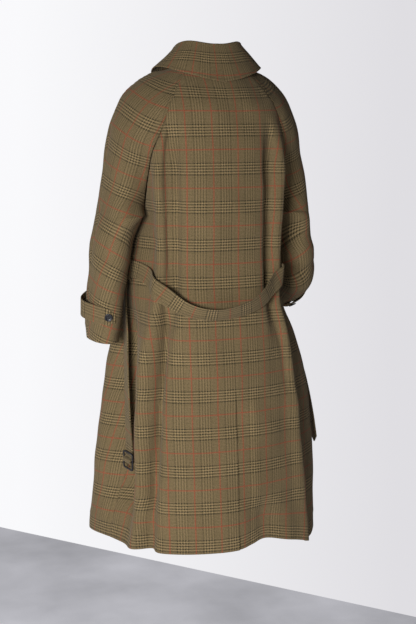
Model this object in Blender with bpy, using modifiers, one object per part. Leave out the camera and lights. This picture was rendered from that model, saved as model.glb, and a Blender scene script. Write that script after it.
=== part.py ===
"""A balmacaan coat in heavy checked tweed, in the hollow form that it has when worn.

Metres, +Z up. The origin is the middle of the neck opening, level with the back neck seam.
The coat faces -Y, so +Y is its back and +X is the wearer's left. A drop is a distance below
the origin. An angle round the body is 0 at the centre back, 90 at the left side seam,
-90 at the right side seam and 180 at the centre front.
"""

import bmesh
import bpy
import numpy as np
from mathutils import Matrix, Vector

# Cloth and seams
CLOTH = 0.0022
SEAM_GAP = 0.0003
LAYER_GAP = 0.0015
REST_GAP = 0.0012

# Main sizes of the coat
COAT_LENGTH = 1.127
UNDERARM_DROP = 0.345
FRONT_OVERLAP = 0.030
VENT_TOP_DROP = 0.86
VENT_UNDERLAP = 0.045
LOOP_DROPS = {1: 0.472, -1: 0.464}
LOOP_GAPS = {1: 0.0006, -1: 0.0013}

# Belt, loops, cuff tabs, buttons and buckle
BELT_WIDTH = 0.040
BELT_THICKNESS = 0.0032
BELT_LOOP_WIDTH = 0.008
BELT_LOOP_HEIGHT = 0.064
TAB_WIDTH = 0.042
FRONT_BUTTON_RADIUS = 0.0125
CUFF_BUTTON_RADIUS = 0.0095
FRONT_BUTTON_DROPS = (0.215, 0.365, 0.515, 0.665)
BUCKLE_WIDTH = 0.054
BUCKLE_HEIGHT = 0.044
BUCKLE_RIM = 0.0045
BUCKLE_THICKNESS = 0.0034
BUCKLE_BAR = 0.0038
BAR_LOOP_RADIUS = 0.0030
BAR_LOOP_TURN = 292.0

# Collar
COLLAR_FOLD = 0.0055
COLLAR_FRONT_GAP = 7.0
COLLAR_SHAPE = ("stand", "out", "height")

TWEED_COLOUR = (0.150, 0.110, 0.058, 1.0)
HORN_COLOUR = (0.012, 0.012, 0.016, 1.0)

LEFT, RIGHT = 1, -1


def table(columns, *rows):
    """A short table, as one array for each named column."""
    return dict(zip(columns.split(), np.array(rows, float).T))


# Rings of the body, from the neck seam to the hem
BODY = table(
    "drop side_lift front_drop half_width back front squareness",
    (0.000, 0.022, 0.080, 0.078, 0.070, 0.078, 2.0),
    (0.030, 0.018, 0.078, 0.118, 0.103, 0.100, 2.1),
    (0.080, 0.008, 0.066, 0.168, 0.138, 0.124, 2.3),
    (0.150, 0.000, 0.040, 0.182, 0.154, 0.142, 2.5),
    (0.250, 0.000, 0.012, 0.172, 0.160, 0.152, 2.7),
    (0.345, 0.000, 0.000, 0.159, 0.162, 0.156, 2.7),
    (0.480, 0.000, 0.000, 0.154, 0.165, 0.160, 2.7),
    (0.640, 0.000, 0.000, 0.200, 0.178, 0.170, 2.5),
    (0.740, 0.000, 0.000, 0.221, 0.187, 0.178, 2.4),
    (0.870, 0.000, 0.000, 0.237, 0.197, 0.186, 2.3),
    (1.127, 0.000, 0.000, 0.250, 0.217, 0.200, 2.3),
)

# Long folds of the body. A height above 0 is a ridge, below 0 a trough. Each comes in from
# start to full, moves from its angle at the start to its angle at the hem, and dies from fade to end.
FOLDS = table(
    "angle_start angle_hem half_width height start full fade end",
    (96, 96, 26.0, 0.037, 0.33, 0.46, 0.49, 0.66),
    (46, 47, 4.5, -0.016, 0.10, 0.24, 0.54, 0.70),
    (57, 58, 7.0, 0.019, 0.12, 0.28, 0.52, 0.70),
    (52, 57, 5.0, -0.028, 0.50, 0.62, 2.00, 2.20),
    (64, 65, 6.5, 0.014, 0.54, 0.70, 2.00, 2.20),
    (99, 75.5, 13.0, -0.070, 0.47, 0.80, 0.93, 1.18),
    (112, 108, 15.0, 0.030, 0.50, 0.68, 2.00, 2.20),
    (112, 112, 13.0, 0.010, 0.84, 1.10, 2.00, 2.20),
    (-36, -38, 5.0, -0.019, 0.10, 0.24, 0.52, 0.68),
    (-46, -50, 6.0, 0.018, 0.10, 0.26, 0.46, 0.58),
    (-41, -52, 5.0, 0.016, 0.46, 0.60, 1.10, 2.20),
    (-55, -64, 6.0, -0.004, 0.44, 0.62, 1.10, 2.20),
    (-80, -84, 14.0, 0.032, 0.50, 0.80, 1.00, 2.00),
    (-20, -21, 13.0, -0.020, 0.96, 1.09, 2.00, 2.20),
    (138, 142, 8.0, -0.016, 0.55, 0.90, 2.00, 2.20),
    (158, 160, 8.0, 0.010, 0.60, 0.95, 2.00, 2.20),
    (-126, -124, 9.0, -0.018, 0.52, 0.85, 2.00, 2.20),
    (-150, -152, 9.0, 0.012, 0.58, 0.92, 2.00, 2.20),
)

# Where the hem rides up or hangs down
HEM = table(
    "angle half_width lift",
    (-21, 13, 0.014),
    (-66, 18, -0.034),
)
HEM_REACH = 0.14

# Raglan rows, from the neck to the underarm: where the seams cross the body ring, which way the
# sleeve leaves them (degrees from straight out, towards the back or front), how full it is there,
# and the ridge line over the shoulder.
RAGLAN = table(
    "drop back_angle front_angle back_turn front_turn fullness top_out top_fore top_drop",
    (0.000, 50, 122, -50, -34, 1.00, 0.0780, 0.000, -0.0020),
    (0.030, 50, 124, -42, -36, 1.10, 0.1300, -0.004, 0.0125),
    (0.080, 51, 126, -34, -34, 1.15, 0.1900, -0.010, 0.0510),
    (0.150, 56, 125, -20, -24, 1.20, 0.2290, -0.014, 0.1230),
    (0.220, 66, 118, -4, -6, 1.40, 0.2460, -0.015, 0.2040),
    (0.290, 78, 106, 36, 34, 1.90, 0.2575, -0.014, 0.2830),
    (0.345, 90, 90, 84, 84, 2.90, 0.2660, -0.012, 0.3450),
)

# Sleeve rings below the underarm: the centre, and half the width and depth of the ring
LEFT_TUBE = table(
    "drop out fore half_out half_depth",
    (0.345, 0.2140, -0.010, 0.0530, 0.080),
    (0.420, 0.2370, -0.007, 0.0475, 0.077),
    (0.500, 0.2520, -0.009, 0.0425, 0.071),
    (0.575, 0.2555, -0.014, 0.0405, 0.066),
    (0.640, 0.2585, -0.019, 0.0370, 0.063),
)
RIGHT_TUBE = table(
    "drop out fore half_out half_depth",
    (0.3450, 0.2140, -0.010, 0.0530, 0.0800),
    (0.4200, 0.2270, -0.008, 0.0500, 0.0730),
    (0.4640, 0.2400, -0.014, 0.0480, 0.0680),
    (0.4960, 0.2490, -0.030, 0.0480, 0.0660),
    (0.5150, 0.2520, -0.050, 0.0470, 0.0650),
    (0.5240, 0.2510, -0.065, 0.0465, 0.0640),
    (0.5596, 0.2400, -0.142, 0.0430, 0.0620),
)
TUBES = {LEFT: LEFT_TUBE, RIGHT: RIGHT_TUBE}

# Large creases across the sleeves: place along the tube, place round it (0 at the underarm seam,
# 0.25 at the back, 0.5 at the outer seam), their half sizes, height and slant
CREASE_COLUMNS = "along round half_along half_round height slant"
LEFT_CREASES = table(
    CREASE_COLUMNS,
    (0.16, 0.14, 0.09, 0.14, -0.0080, 0.30),
    (0.42, 0.74, 0.10, 0.16, -0.0060, -0.25),
)
RIGHT_CREASES = table(
    CREASE_COLUMNS,
    (0.20, 0.18, 0.09, 0.14, -0.0080, 0.20),
    (0.50, 0.22, 0.10, 0.16, 0.0060, 0.05),
)
CREASES = {LEFT: LEFT_CREASES, RIGHT: RIGHT_CREASES}

# The belt across the back, from the left loop to the right one: middle line, how far it stands
# off the cloth, and how much further off its upper edge is than its lower edge
BELT_SWAG = table(
    "angle drop stand_off lean",
    (-97, 0.464, 0.0018, 0.000),
    (-86, 0.464, 0.0018, 0.000),
    (-64, 0.472, 0.0020, 0.001),
    (-40, 0.499, 0.0030, 0.006),
    (-20, 0.541, 0.0050, 0.018),
    (0, 0.561, 0.0060, 0.026),
    (16, 0.566, 0.0060, 0.028),
    (34, 0.553, 0.0090, 0.022),
    (49, 0.525, 0.0110, 0.010),
    (66, 0.491, 0.0050, 0.002),
    (86, 0.473, 0.0018, 0.000),
    (97, 0.472, 0.0018, 0.000),
)

# The belt's hanging ends: the middle line, and the way that the outer face looks
LEFT_END = table(
    "drop out fore face",
    (0.4528, 0.1922, -0.0225, 97),
    (0.530, 0.1975, -0.0262, 99),
    (0.640, 0.2005, -0.0130, 96),
    (0.740, 0.2040, -0.0010, 96),
    (0.840, 0.2080, 0.0200, 92),
    (0.930, 0.2110, 0.0400, 84),
)
RIGHT_END = table(
    "drop out fore face",
    (0.444, 0.1562, -0.0192, 97),
    (0.480, 0.1650, -0.0230, 96),
    (0.520, 0.1790, -0.0275, 95),
    (0.560, 0.1930, -0.0280, 94),
    (0.600, 0.2090, -0.0260, 93),
    (0.660, 0.2330, -0.0200, 92),
    (0.760, 0.2650, -0.0120, 90),
    (0.860, 0.2860, -0.0050, 88),
    (0.943, 0.2980, 0.0000, 86),
)
BELT_TIP_POINT = 0.018

# The collar round the neck: the height of its stand, how far out the edge of its fall lies and that
# edge's height over the neck seam
COLLAR = table(
    "angle stand out height",
    (0, 0.044, 0.047, -0.036),
    (45, 0.041, 0.050, -0.026),
    (90, 0.035, 0.056, -0.007),
    (125, 0.032, 0.048, -0.014),
    (152, 0.028, 0.050, -0.036),
    (168, 0.026, 0.058, -0.066),
    (173, 0.025, 0.058, -0.078),
)

# Cuff tab: the part of the sleeve's ring that it goes round, its place along the tube, and how
# far its middle stands off
TAB_ROUND = (0.70, 0.23)
TAB_ALONG = (0.71, 0.79)
TAB_BULGE = {1: 0.013, -1: 0.004}
TAB_POINT = 0.45

# Grid sizes of the pieces
RAGLAN_ROWS = 9
BODY_ROWS, SLEEVE_ROWS = 24, 19
BODY_COLUMNS, SLEEVE_COLUMNS = {"back": 19, "front": 15}, 8
COLLAR_AROUND, COLLAR_ACROSS = 32, 9
BELT_STEPS, END_STEPS, CURL_STEPS, TAB_STEPS = 40, 14, 12, 14
TURNED_STEPS = 14

UNDERARM_SHARE = 0.50
NECK_BLEND = 0.03
INTO_FOLD = 2.2


def smooth(t):
    """Rises from 0 to 1 with level ends."""
    t = np.clip(t, 0.0, 1.0)
    return t * t * (3.0 - 2.0 * t)


def along(rows, key, name, at):
    """Column name of a table, read at places along column key on a smooth curve through the rows."""
    x, y = rows[key], rows[name]
    slope = np.gradient(y, x)
    at = np.clip(at, x[0], x[-1])
    i = np.clip(np.searchsorted(x, at, side="right") - 1, 0, len(x) - 2)
    step = x[i + 1] - x[i]
    t = (at - x[i]) / step
    start = (1 + 2 * t) * (1 - t) ** 2 * y[i] + t * (1 - t) ** 2 * step * slope[i]
    end = t * t * (3 - 2 * t) * y[i + 1] - t * t * (1 - t) * step * slope[i + 1]
    return start + end


def unit(vectors):
    return vectors / np.linalg.norm(vectors, axis=-1, keepdims=True)


def normals_of(surface, u, v, step=1e-4):
    """Outward normals of a surface whose u runs to the left, seen from outside, and v down."""
    across = surface(u + step, v) - surface(u - step, v)
    down = surface(u, v + step) - surface(u, v - step)
    return unit(np.cross(across, down))


# The body


def fold_height(angle, drop, ridges_only=False):
    """How far the folds move the body's cloth out at these places."""
    total = np.zeros(np.broadcast(angle, drop).shape)
    for first, last, half, height, start, full, fade, end in zip(*FOLDS.values()):
        if ridges_only and height < 0:
            continue
        middle = first + (last - first) * np.clip((drop - start) / (COAT_LENGTH - start), 0, 1)
        size = height * smooth((drop - start) / (full - start)) * (1 - smooth((drop - fade) / (end - fade)))
        total = total + size * np.exp(-(((angle - middle) / half) ** 2))
    return total


def body_point(angle, drop, out=0.0, ridges_only=False):
    """A place on the body's outer surface, or a distance out from it in its ring's plane."""
    angle, drop = np.broadcast_arrays(np.asarray(angle, float), np.asarray(drop, float))
    turn = np.radians(angle)
    side, back = np.sin(turn), np.cos(turn)
    wide = along(BODY, "drop", "half_width", drop)
    deep = np.where(back > 0, along(BODY, "drop", "back", drop), along(BODY, "drop", "front", drop))
    power = along(BODY, "drop", "squareness", drop)
    radius = (np.abs(side / wide) ** power + np.abs(back / deep) ** power) ** (-1 / power)
    radius = radius + fold_height((angle + 180) % 360 - 180, drop, ridges_only) + out
    near_hem = smooth((drop - (COAT_LENGTH - HEM_REACH)) / HEM_REACH)
    lift = sum(h * np.exp(-(((angle - a) / w) ** 2)) for a, w, h in zip(*HEM.values())) * near_hem
    lift = lift + along(BODY, "drop", "side_lift", drop) * side**2
    height = lift - drop - along(BODY, "drop", "front_drop", drop) * ((1 - back) / 2) ** 2
    return np.stack([radius * side, radius * back, height], axis=-1)


def body_normal(angle, drop, step=0.25):
    across = body_point(angle + step, drop) - body_point(angle - step, drop)
    down = body_point(angle, drop + step / 200) - body_point(angle, drop - step / 200)
    return unit(np.cross(across, down))


def raglan_angle(face, drop):
    """The angle where a raglan seam crosses the body ring. Below the underarm it is the side seam."""
    return np.where(drop < UNDERARM_DROP, along(RAGLAN, "drop", face + "_angle", drop), 90.0)


# The sleeves


def sleeve_arc(side, drop, round_share):
    """The raglan part: from the back seam over the shoulder line to the front seam."""
    behind = round_share < 0.5
    face_angle = np.where(behind, raglan_angle("back", drop), raglan_angle("front", drop))
    seam = body_point(side * face_angle, drop)
    top = np.stack(
        [
            side * along(RAGLAN, "drop", "top_out", drop),
            along(RAGLAN, "drop", "top_fore", drop),
            -along(RAGLAN, "drop", "top_drop", drop),
        ],
        axis=-1,
    )
    back_turn, front_turn = (along(RAGLAN, "drop", face + "_turn", drop) for face in ("back", "front"))
    turn = np.radians(np.where(behind, back_turn, front_turn))
    way = np.where(behind, 1.0, -1.0)
    leave = np.stack([side * np.cos(turn), way * np.sin(turn), np.zeros_like(turn)], axis=-1)
    arrive = np.stack([np.zeros_like(turn), -way, np.zeros_like(turn)], axis=-1)
    chord = np.linalg.norm((top - seam)[..., :2], axis=-1) * along(RAGLAN, "drop", "fullness", drop)
    t = np.where(behind, round_share, 1 - round_share) * 2
    pull = (chord * t * (1 - t) ** 2)[..., None] * leave - (chord * t * t * (1 - t))[..., None] * arrive
    level = smooth(t)[..., None]
    arc = seam * (1 - level) + top * level + pull
    back_angle, front_angle = raglan_angle("back", drop), raglan_angle("front", drop)
    neck = body_point(side * (back_angle + (front_angle - back_angle) * round_share), drop)
    blend = smooth(drop / NECK_BLEND)[..., None]
    return neck * (1 - blend) + arc * blend


def tube_frame(side, share):
    """Centre and axes of a sleeve ring, a share of the way from the underarm to the cuff."""
    tube = TUBES[side]
    steps = np.sqrt(sum(np.diff(tube[name]) ** 2 for name in ("drop", "out", "fore")))
    ring = {**tube, "share": np.concatenate([[0.0], np.cumsum(steps)]) / steps.sum()}

    def centre(at):
        out, fore, drop = (along(ring, "share", name, at) for name in ("out", "fore", "drop"))
        return np.stack([side * out, fore, -drop], axis=-1)

    step = 0.03
    low, high = np.clip(share - step, 0, 1), np.clip(share + step, 0, 1)
    ahead = unit(centre(high) - centre(low))
    outward = np.broadcast_to(np.array([float(side), 0.0, 0.0]), ahead.shape)
    outward = unit(outward - (outward * ahead).sum(-1, keepdims=True) * ahead)
    backward = np.cross(ahead, outward) * -side
    sizes = along(ring, "share", "half_out", share), along(ring, "share", "half_depth", share)
    return centre(share), outward, backward, *sizes


def crease_height(side, share, round_share):
    total = np.zeros(np.broadcast(share, round_share).shape)
    for place, middle, long, wide, height, slant in zip(*CREASES[side].values()):
        aside = (round_share - middle + 0.5) % 1.0 - 0.5
        offset = share - place - slant * aside
        total = total + height * np.exp(-((offset / long) ** 2) - (aside / wide) ** 2)
    return total


def sleeve_tube(side, share, round_share):
    """The tube below the underarm: rings across the arm's line."""
    centre, outward, backward, half_out, half_depth = tube_frame(side, share)
    turn = 2 * np.pi * round_share
    crease = crease_height(side, share, round_share) * smooth(share / 0.08)
    across = -np.cos(turn) * (half_out + crease)
    along_depth = np.sin(turn) * (half_depth + crease)
    return centre + across[..., None] * outward + along_depth[..., None] * backward


def sleeve_point(side, round_share, down):
    """A place on a sleeve: down is 0 at the neck, UNDERARM_SHARE at the underarm and 1 at the cuff."""
    round_share, down = np.broadcast_arrays(np.asarray(round_share, float), np.asarray(down, float))
    drop = UNDERARM_DROP * np.clip(down / UNDERARM_SHARE, 0, 1)
    share = np.clip((down - UNDERARM_SHARE) / (1 - UNDERARM_SHARE), 0, 1)
    arc, tube = sleeve_arc(side, drop, round_share), sleeve_tube(side, share, round_share)
    blend = smooth((down - UNDERARM_SHARE) / 0.10)[..., None]
    return arc * (1 - blend) + (tube + sleeve_offset(side, round_share, share)) * blend


def sleeve_offset(side, round_share, share):
    """Moves the first rings of the tube to where the raglan part ends, and leaves the rest."""
    joint = sleeve_arc(side, np.full_like(share, UNDERARM_DROP), round_share)
    start = sleeve_tube(side, np.zeros_like(share), round_share)
    return (joint - start) * (1 - smooth(share / 0.30))[..., None]


def sleeve_normal(side, round_share, down):
    across = sleeve_point(side, round_share + 1e-4, down) - sleeve_point(side, round_share - 1e-4, down)
    lower = sleeve_point(side, round_share, down + 1e-4) - sleeve_point(side, round_share, down - 1e-4)
    return unit(np.cross(across, lower)) * side


# Objects


def material(name, colour, roughness):
    made = bpy.data.materials.new(name)
    made.use_nodes = True
    shader = made.node_tree.nodes["Principled BSDF"]
    shader.inputs["Base Color"].default_value = colour
    shader.inputs["Roughness"].default_value = roughness
    shader.inputs["Metallic"].default_value = 0.0
    made.diffuse_color = colour
    return made


def add_object(name, mesh, finish, collection):
    mesh.materials.append(finish)
    made = bpy.data.objects.new(name, mesh)
    collection.objects.link(made)
    return made


def cloth_wall(name, place, columns, rows, finish, collection):
    """A wall of cloth: a flat grid given a thickness, then moved to its place on the coat.

    place takes u across, v down and depth (0 outside, 1 inside) and gives the points.
    """
    mesh = bpy.data.meshes.new(name)
    grid = bmesh.new()
    centre = Matrix.Translation((0.5, 0.5, 0.0))
    bmesh.ops.create_grid(grid, x_segments=columns, y_segments=rows, size=0.5, matrix=centre)
    flat = grid.verts[:] + grid.edges[:] + grid.faces[:]
    layer = bmesh.ops.extrude_face_region(grid, geom=flat, use_keep_orig=True)
    for part in layer["geom"]:
        if isinstance(part, bmesh.types.BMVert):
            part.co.z = 1.0
    flat_points = np.array([vertex.co for vertex in grid.verts])
    points = place(flat_points[:, 0], flat_points[:, 1], flat_points[:, 2])
    for vertex, point in zip(grid.verts, points):
        vertex.co = point
    bmesh.ops.recalc_face_normals(grid, faces=grid.faces[:])
    if grid.calc_volume(signed=True) < 0:
        bmesh.ops.reverse_faces(grid, faces=grid.faces[:])
    grid.to_mesh(mesh)
    grid.free()
    mesh.shade_smooth()
    return add_object(name, mesh, finish, collection)


def raglan_rows(v, rows, end):
    """Drops of the raglan rows, which the body and sleeve share, then even steps to the end."""
    row = v * rows
    upper = UNDERARM_DROP * np.minimum(row / RAGLAN_ROWS, 1.0) ** 1.15
    lower = (end - UNDERARM_DROP) * np.maximum((row - RAGLAN_ROWS) / (rows - RAGLAN_ROWS), 0.0)
    return upper + lower


def panel_angles(share, first, last, drop):
    """Angles of a panel's columns between two edges, closer together where the folds lie."""
    angles = np.empty_like(share)
    for row in np.unique(drop):
        here = np.flatnonzero(drop == row)
        fine = np.linspace(first[here[0]], last[here[0]], 241)
        density = np.full_like(fine, 1.0)
        for start, hem, half in zip(FOLDS["angle_start"], FOLDS["angle_hem"], FOLDS["half_width"]):
            middle = start + (hem - start) * row / COAT_LENGTH
            density = density + np.exp(-(((fine - middle) / (1.5 * half)) ** 2))
        total = np.concatenate([[0.0], np.cumsum((density[1:] + density[:-1]) / 2)])
        angles[here] = np.interp(share[here], total / total[-1], fine)
    return angles


def arc_degrees(length, angle, drop):
    """The angle that a short length takes up on the body's ring."""
    radius = np.linalg.norm(body_point(angle, drop)[..., :2], axis=-1)
    return np.degrees(length / radius)


def body_panel(name, side, face, finish, collection):
    """A back or front panel, from its centre edge to the raglan and side seams."""
    centre_angle = 0.0 if face == "back" else 180.0

    def centre_edge(drop):
        """How far the centre edge runs past the centre line, and how far it lies inside it."""
        if face == "back":
            underlap = 0.0 if side == LEFT else VENT_UNDERLAP
            past = -SEAM_GAP / 2 + underlap * smooth((drop - VENT_TOP_DROP) / 0.02)
            under = 0.0 * drop if side == LEFT else smooth((drop - VENT_TOP_DROP + 0.12) / 0.06)
        else:
            past = np.full_like(drop, FRONT_OVERLAP)
            under = np.full_like(drop, 0.0 if side == LEFT else 1.0)
        return past, under

    def place(u, v, depth):
        drop = raglan_rows(v, BODY_ROWS, COAT_LENGTH)
        past, under = centre_edge(drop)
        outer = raglan_angle(face, drop)
        inset = arc_degrees(seam_gap(drop) / 2, side * outer, drop)
        reach = arc_degrees(past, centre_angle, drop)
        toward = 1 if face == "back" else -1
        first, last = side * (centre_angle - toward * reach), side * (outer - toward * inset)
        angle = panel_angles(u, first, last, drop)
        radius = np.linalg.norm(body_point(angle, drop)[..., :2], axis=-1)
        from_centre = radius * np.radians(angle * side - centre_angle) * toward
        sunk = under * (CLOTH + LAYER_GAP) * (1 - smooth((from_centre - FRONT_OVERLAP) / 0.02))
        normal = wall_normal(side, face, angle, drop, u > 0.999)
        return body_point(angle, drop) - normal * (sunk + depth * CLOTH)[:, None]

    return cloth_wall(name, place, BODY_COLUMNS[face], BODY_ROWS, finish, collection)


def seam_gap(drop):
    """The gap at a seam. It is wider on the lower raglan seam, where the two walls twist."""
    lower_raglan = smooth((drop - 0.12) / 0.10) * (1 - smooth((drop - 0.30) / 0.10))
    return SEAM_GAP + 0.0006 * lower_raglan


def wall_normal(side, face, angle, drop, at_seam):
    """The body's normal, turned to share the raglan seam's bisector along that seam."""
    normal = body_normal(angle, drop)
    on_raglan = at_seam & (drop < UNDERARM_DROP - 1e-6)
    return np.where(on_raglan[..., None], seam_normal(side, face, drop), normal)


def seam_normal(side, face, drop):
    """The bisector of the body's and the sleeve's normals along a raglan seam.

    At the underarm, where body and sleeve fold together, it points down into the fold.
    """
    drop = np.clip(drop, 0.002, UNDERARM_DROP - 0.004)
    angle = side * raglan_angle(face, drop)
    round_share = np.full_like(drop, 0.004 if face == "back" else 0.996)
    sleeve = sleeve_normal(side, round_share, UNDERARM_SHARE * drop / UNDERARM_DROP)
    into_fold = INTO_FOLD * smooth((drop - 0.22) / 0.12)[..., None] * np.array([0.0, 0.0, -1.0])
    return unit(body_normal(angle, drop) + sleeve + into_fold)


def sleeve_half(name, side, face, finish, collection):
    """The back or front half of a two-piece raglan sleeve."""

    def place(u, v, depth):
        drop = raglan_rows(v, SLEEVE_ROWS, 2 * UNDERARM_DROP)
        down = UNDERARM_SHARE * drop / UNDERARM_DROP
        seam, step = np.where(u < 0.5, 0.0 if face == "back" else 1.0, 0.5), 1e-3
        toward = 1 if face == "back" else -1
        speed = sleeve_point(side, np.abs(seam - step), down) - sleeve_point(side, seam, down)
        inset = seam_gap(drop) / 2 * step / np.linalg.norm(speed, axis=-1)
        edge = 0.0 if face == "back" else 1.0
        round_share = edge + toward * (0.5 * u + inset * (1 - 2 * u))
        point = sleeve_point(side, round_share, down)
        normal = sleeve_normal(side, round_share, np.clip(down, 2e-3, 1 - 2e-3))
        on_raglan = (u < 1e-6) & (down < UNDERARM_SHARE - 1e-6)
        normal = np.where(on_raglan[:, None], seam_normal(side, face, np.minimum(drop, UNDERARM_DROP)), normal)
        under_seam = (u < 1e-6) & (down >= UNDERARM_SHARE - 1e-6)
        low = np.minimum(down, 1 - 2e-3)
        beside = sum(sleeve_normal(side, np.full_like(u, share), low) for share in (0.01, 0.99))
        normal = np.where(under_seam[:, None], unit(beside), normal)
        return point - normal * (depth * CLOTH)[:, None]

    return cloth_wall(name, place, SLEEVE_COLUMNS, SLEEVE_ROWS, finish, collection)


def collar_point(angle, across):
    """The collar: across is 0 at the neck seam, 0.4 at the top of the stand and 1 at the fall's edge."""
    neck = body_point(angle, np.zeros_like(angle))
    turn = np.radians(angle)
    outward = np.stack([np.sin(turn), np.cos(turn)], axis=-1)
    stand_up, edge_out, edge_height = (along(COLLAR, "angle", name, np.abs(angle)) for name in COLLAR_SHAPE)
    stand = np.clip(across / 0.4, 0, 1)
    roll = np.clip((across - 0.4) / 0.2, 0, 1) * np.pi
    fall = np.clip((across - 0.6) / 0.4, 0, 1)
    out = -0.004 * smooth(stand) + COLLAR_FOLD * (1 - np.cos(roll))
    up = REST_GAP + stand_up * stand + COLLAR_FOLD * np.sin(roll)
    top_out, top_up = 2 * COLLAR_FOLD - 0.004, REST_GAP + stand_up
    bow = 0.004 * np.sin(np.pi * fall)
    out = out + (edge_out - top_out) * (0.65 * fall + 0.35 * fall**2) + bow
    up = up + (edge_height - top_up) * fall
    ring = neck[..., :2] + out[..., None] * outward
    return np.concatenate([ring, (neck[..., 2] + up)[..., None]], axis=-1)


def collar(finish, collection):
    def place(u, v, depth):
        reach = 180.0 - COLLAR_FRONT_GAP
        angle = reach * (1 - 2 * u)
        normal = normals_of(lambda a, b: collar_point(reach * (1 - 2 * a), b), u, np.clip(v, 1e-3, 1 - 1e-3))
        return collar_point(angle, v) + normal * (depth * CLOTH)[:, None]

    return cloth_wall("collar", place, COLLAR_AROUND, COLLAR_ACROSS, finish, collection)


def belt_swag_point(share, across, depth):
    """The belt across the back: across is 0.5 at the upper edge and -0.5 at the lower edge."""
    angle = BELT_SWAG["angle"][0] + np.ptp(BELT_SWAG["angle"]) * share
    drop, stand_off, lean = (along(BELT_SWAG, "angle", name, angle) for name in ("drop", "stand_off", "lean"))
    radius = np.linalg.norm(body_point(angle, drop, ridges_only=True)[..., :2], axis=-1)
    fall = (along(BELT_SWAG, "angle", "drop", angle + 1) - along(BELT_SWAG, "angle", "drop", angle - 1)) / 2
    slope = np.arctan2(fall, np.radians(radius))
    mitre = np.clip((np.abs(angle) - 86) / 11, 0, 1) * np.sign(angle)
    shift = across * BELT_WIDTH
    angle = angle + np.degrees((shift * np.sin(slope) + mitre * shift) / radius)
    drop = drop - shift * np.cos(slope) * np.sqrt(1 - (lean / BELT_WIDTH) ** 2)
    out = stand_off + lean * (across + 0.5) + BELT_THICKNESS * (1 - depth)
    return body_point(angle, drop, out, ridges_only=True)


def belt_swag(finish, collection):
    def place(u, v, depth):
        return belt_swag_point(u, 0.5 - v, depth)

    return cloth_wall("belt_back", place, BELT_STEPS, 3, finish, collection)


def end_frame(rows, side, drop):
    """Middle line and axes of a hanging belt end."""
    out, fore, face = (along(rows, "drop", name, drop) for name in ("out", "fore", "face"))
    turn = np.radians(face)
    normal = np.stack([side * np.sin(turn), np.cos(turn), np.zeros_like(turn)], axis=-1)
    width = np.stack([side * np.cos(turn), -np.sin(turn), np.zeros_like(turn)], axis=-1)
    return np.stack([side * out, fore, -drop], axis=-1), normal, width


def belt_end(name, rows, side, finish, collection):
    """A hanging end of the belt, mitred at the top where it folds down.

    The right end is pointed. The left end turns round the buckle's bar.
    """
    bottom = rows["drop"][-1]
    curl_steps = CURL_STEPS if side == LEFT else 0
    straight = END_STEPS / (END_STEPS + curl_steps)

    def place(u, v, depth):
        across = u - 0.5
        top = rows["drop"][0] + REST_GAP + BELT_WIDTH * (0.5 - across)
        tip = bottom - (2 * np.abs(across) * BELT_TIP_POINT if side == RIGHT else 0.0)
        drop = top + (tip - top) * np.minimum(v / straight, 1.0)
        middle, normal, width = end_frame(rows, side, drop)
        point = middle + (across * BELT_WIDTH)[:, None] * width
        turn = np.radians(BAR_LOOP_TURN) * np.maximum((v - straight) / (1 - straight + 1e-9), 0.0)
        radius = BAR_LOOP_RADIUS + BELT_THICKNESS * depth
        out = BELT_THICKNESS + BAR_LOOP_RADIUS - radius * np.cos(turn)
        fall = radius * np.sin(turn)
        return point + normal * out[:, None] - np.outer(fall, (0.0, 0.0, 1.0))

    return cloth_wall(name, place, 2, END_STEPS + curl_steps, finish, collection)


def belt_loop(name, side, finish, collection):
    """A narrow loop on the side seam that holds the belt."""

    def place(u, v, depth):
        drop = LOOP_DROPS[side] + BELT_LOOP_HEIGHT * (v - 0.5)
        middle = side * 90.0 + np.degrees(BELT_LOOP_WIDTH * (u - 0.5) / 0.157)
        clear = BELT_THICKNESS + 2 * LAYER_GAP
        inner = LOOP_GAPS[side] + clear * smooth(np.minimum(v, 1 - v) / 0.17)
        return body_point(middle, drop, inner + 0.0012 * (1 - depth), ridges_only=True)

    return cloth_wall(name, place, 1, 12, finish, collection)


def tab_point(side, share, across, out):
    """A place on a cuff tab, a distance out from the sleeve under it."""
    tube_length = 0.302
    narrow = 1 - TAB_POINT * smooth((share - 0.82) / 0.18)
    down_share = np.interp(share, (0, 1), TAB_ALONG) + across * narrow * TAB_WIDTH / tube_length
    down = UNDERARM_SHARE + (1 - UNDERARM_SHARE) * down_share
    round_share = np.interp(share, (0, 1), TAB_ROUND)
    bulge = TAB_BULGE[side] * np.exp(-(((share - 0.44) / 0.20) ** 2))
    point = sleeve_point(side, round_share, down)
    return point + sleeve_normal(side, round_share, down) * (out + bulge)[..., None]


def cuff_tab(name, side, finish, collection):
    def place(u, v, depth):
        return tab_point(side, u, v - 0.5, REST_GAP + CLOTH * (1 - depth))

    return cloth_wall(name, place, TAB_STEPS, 3, finish, collection)


def turned(name, profile, finish, collection):
    """A turned piece: a half profile, outer side first from top to bottom, spun about Z."""
    mesh = bpy.data.meshes.new(name)
    shape = bmesh.new()
    points = [shape.verts.new((radius, 0.0, height)) for radius, height in profile]
    for first, second in zip(points, points[1:]):
        shape.edges.new((first, second))
    shape.to_mesh(mesh)
    shape.free()
    made = add_object(name, mesh, finish, collection)
    screw = made.modifiers.new("turn", "SCREW")
    screw.steps = screw.render_steps = TURNED_STEPS
    screw.use_merge_vertices = True
    screw.merge_threshold = 0.0001
    return made


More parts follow.
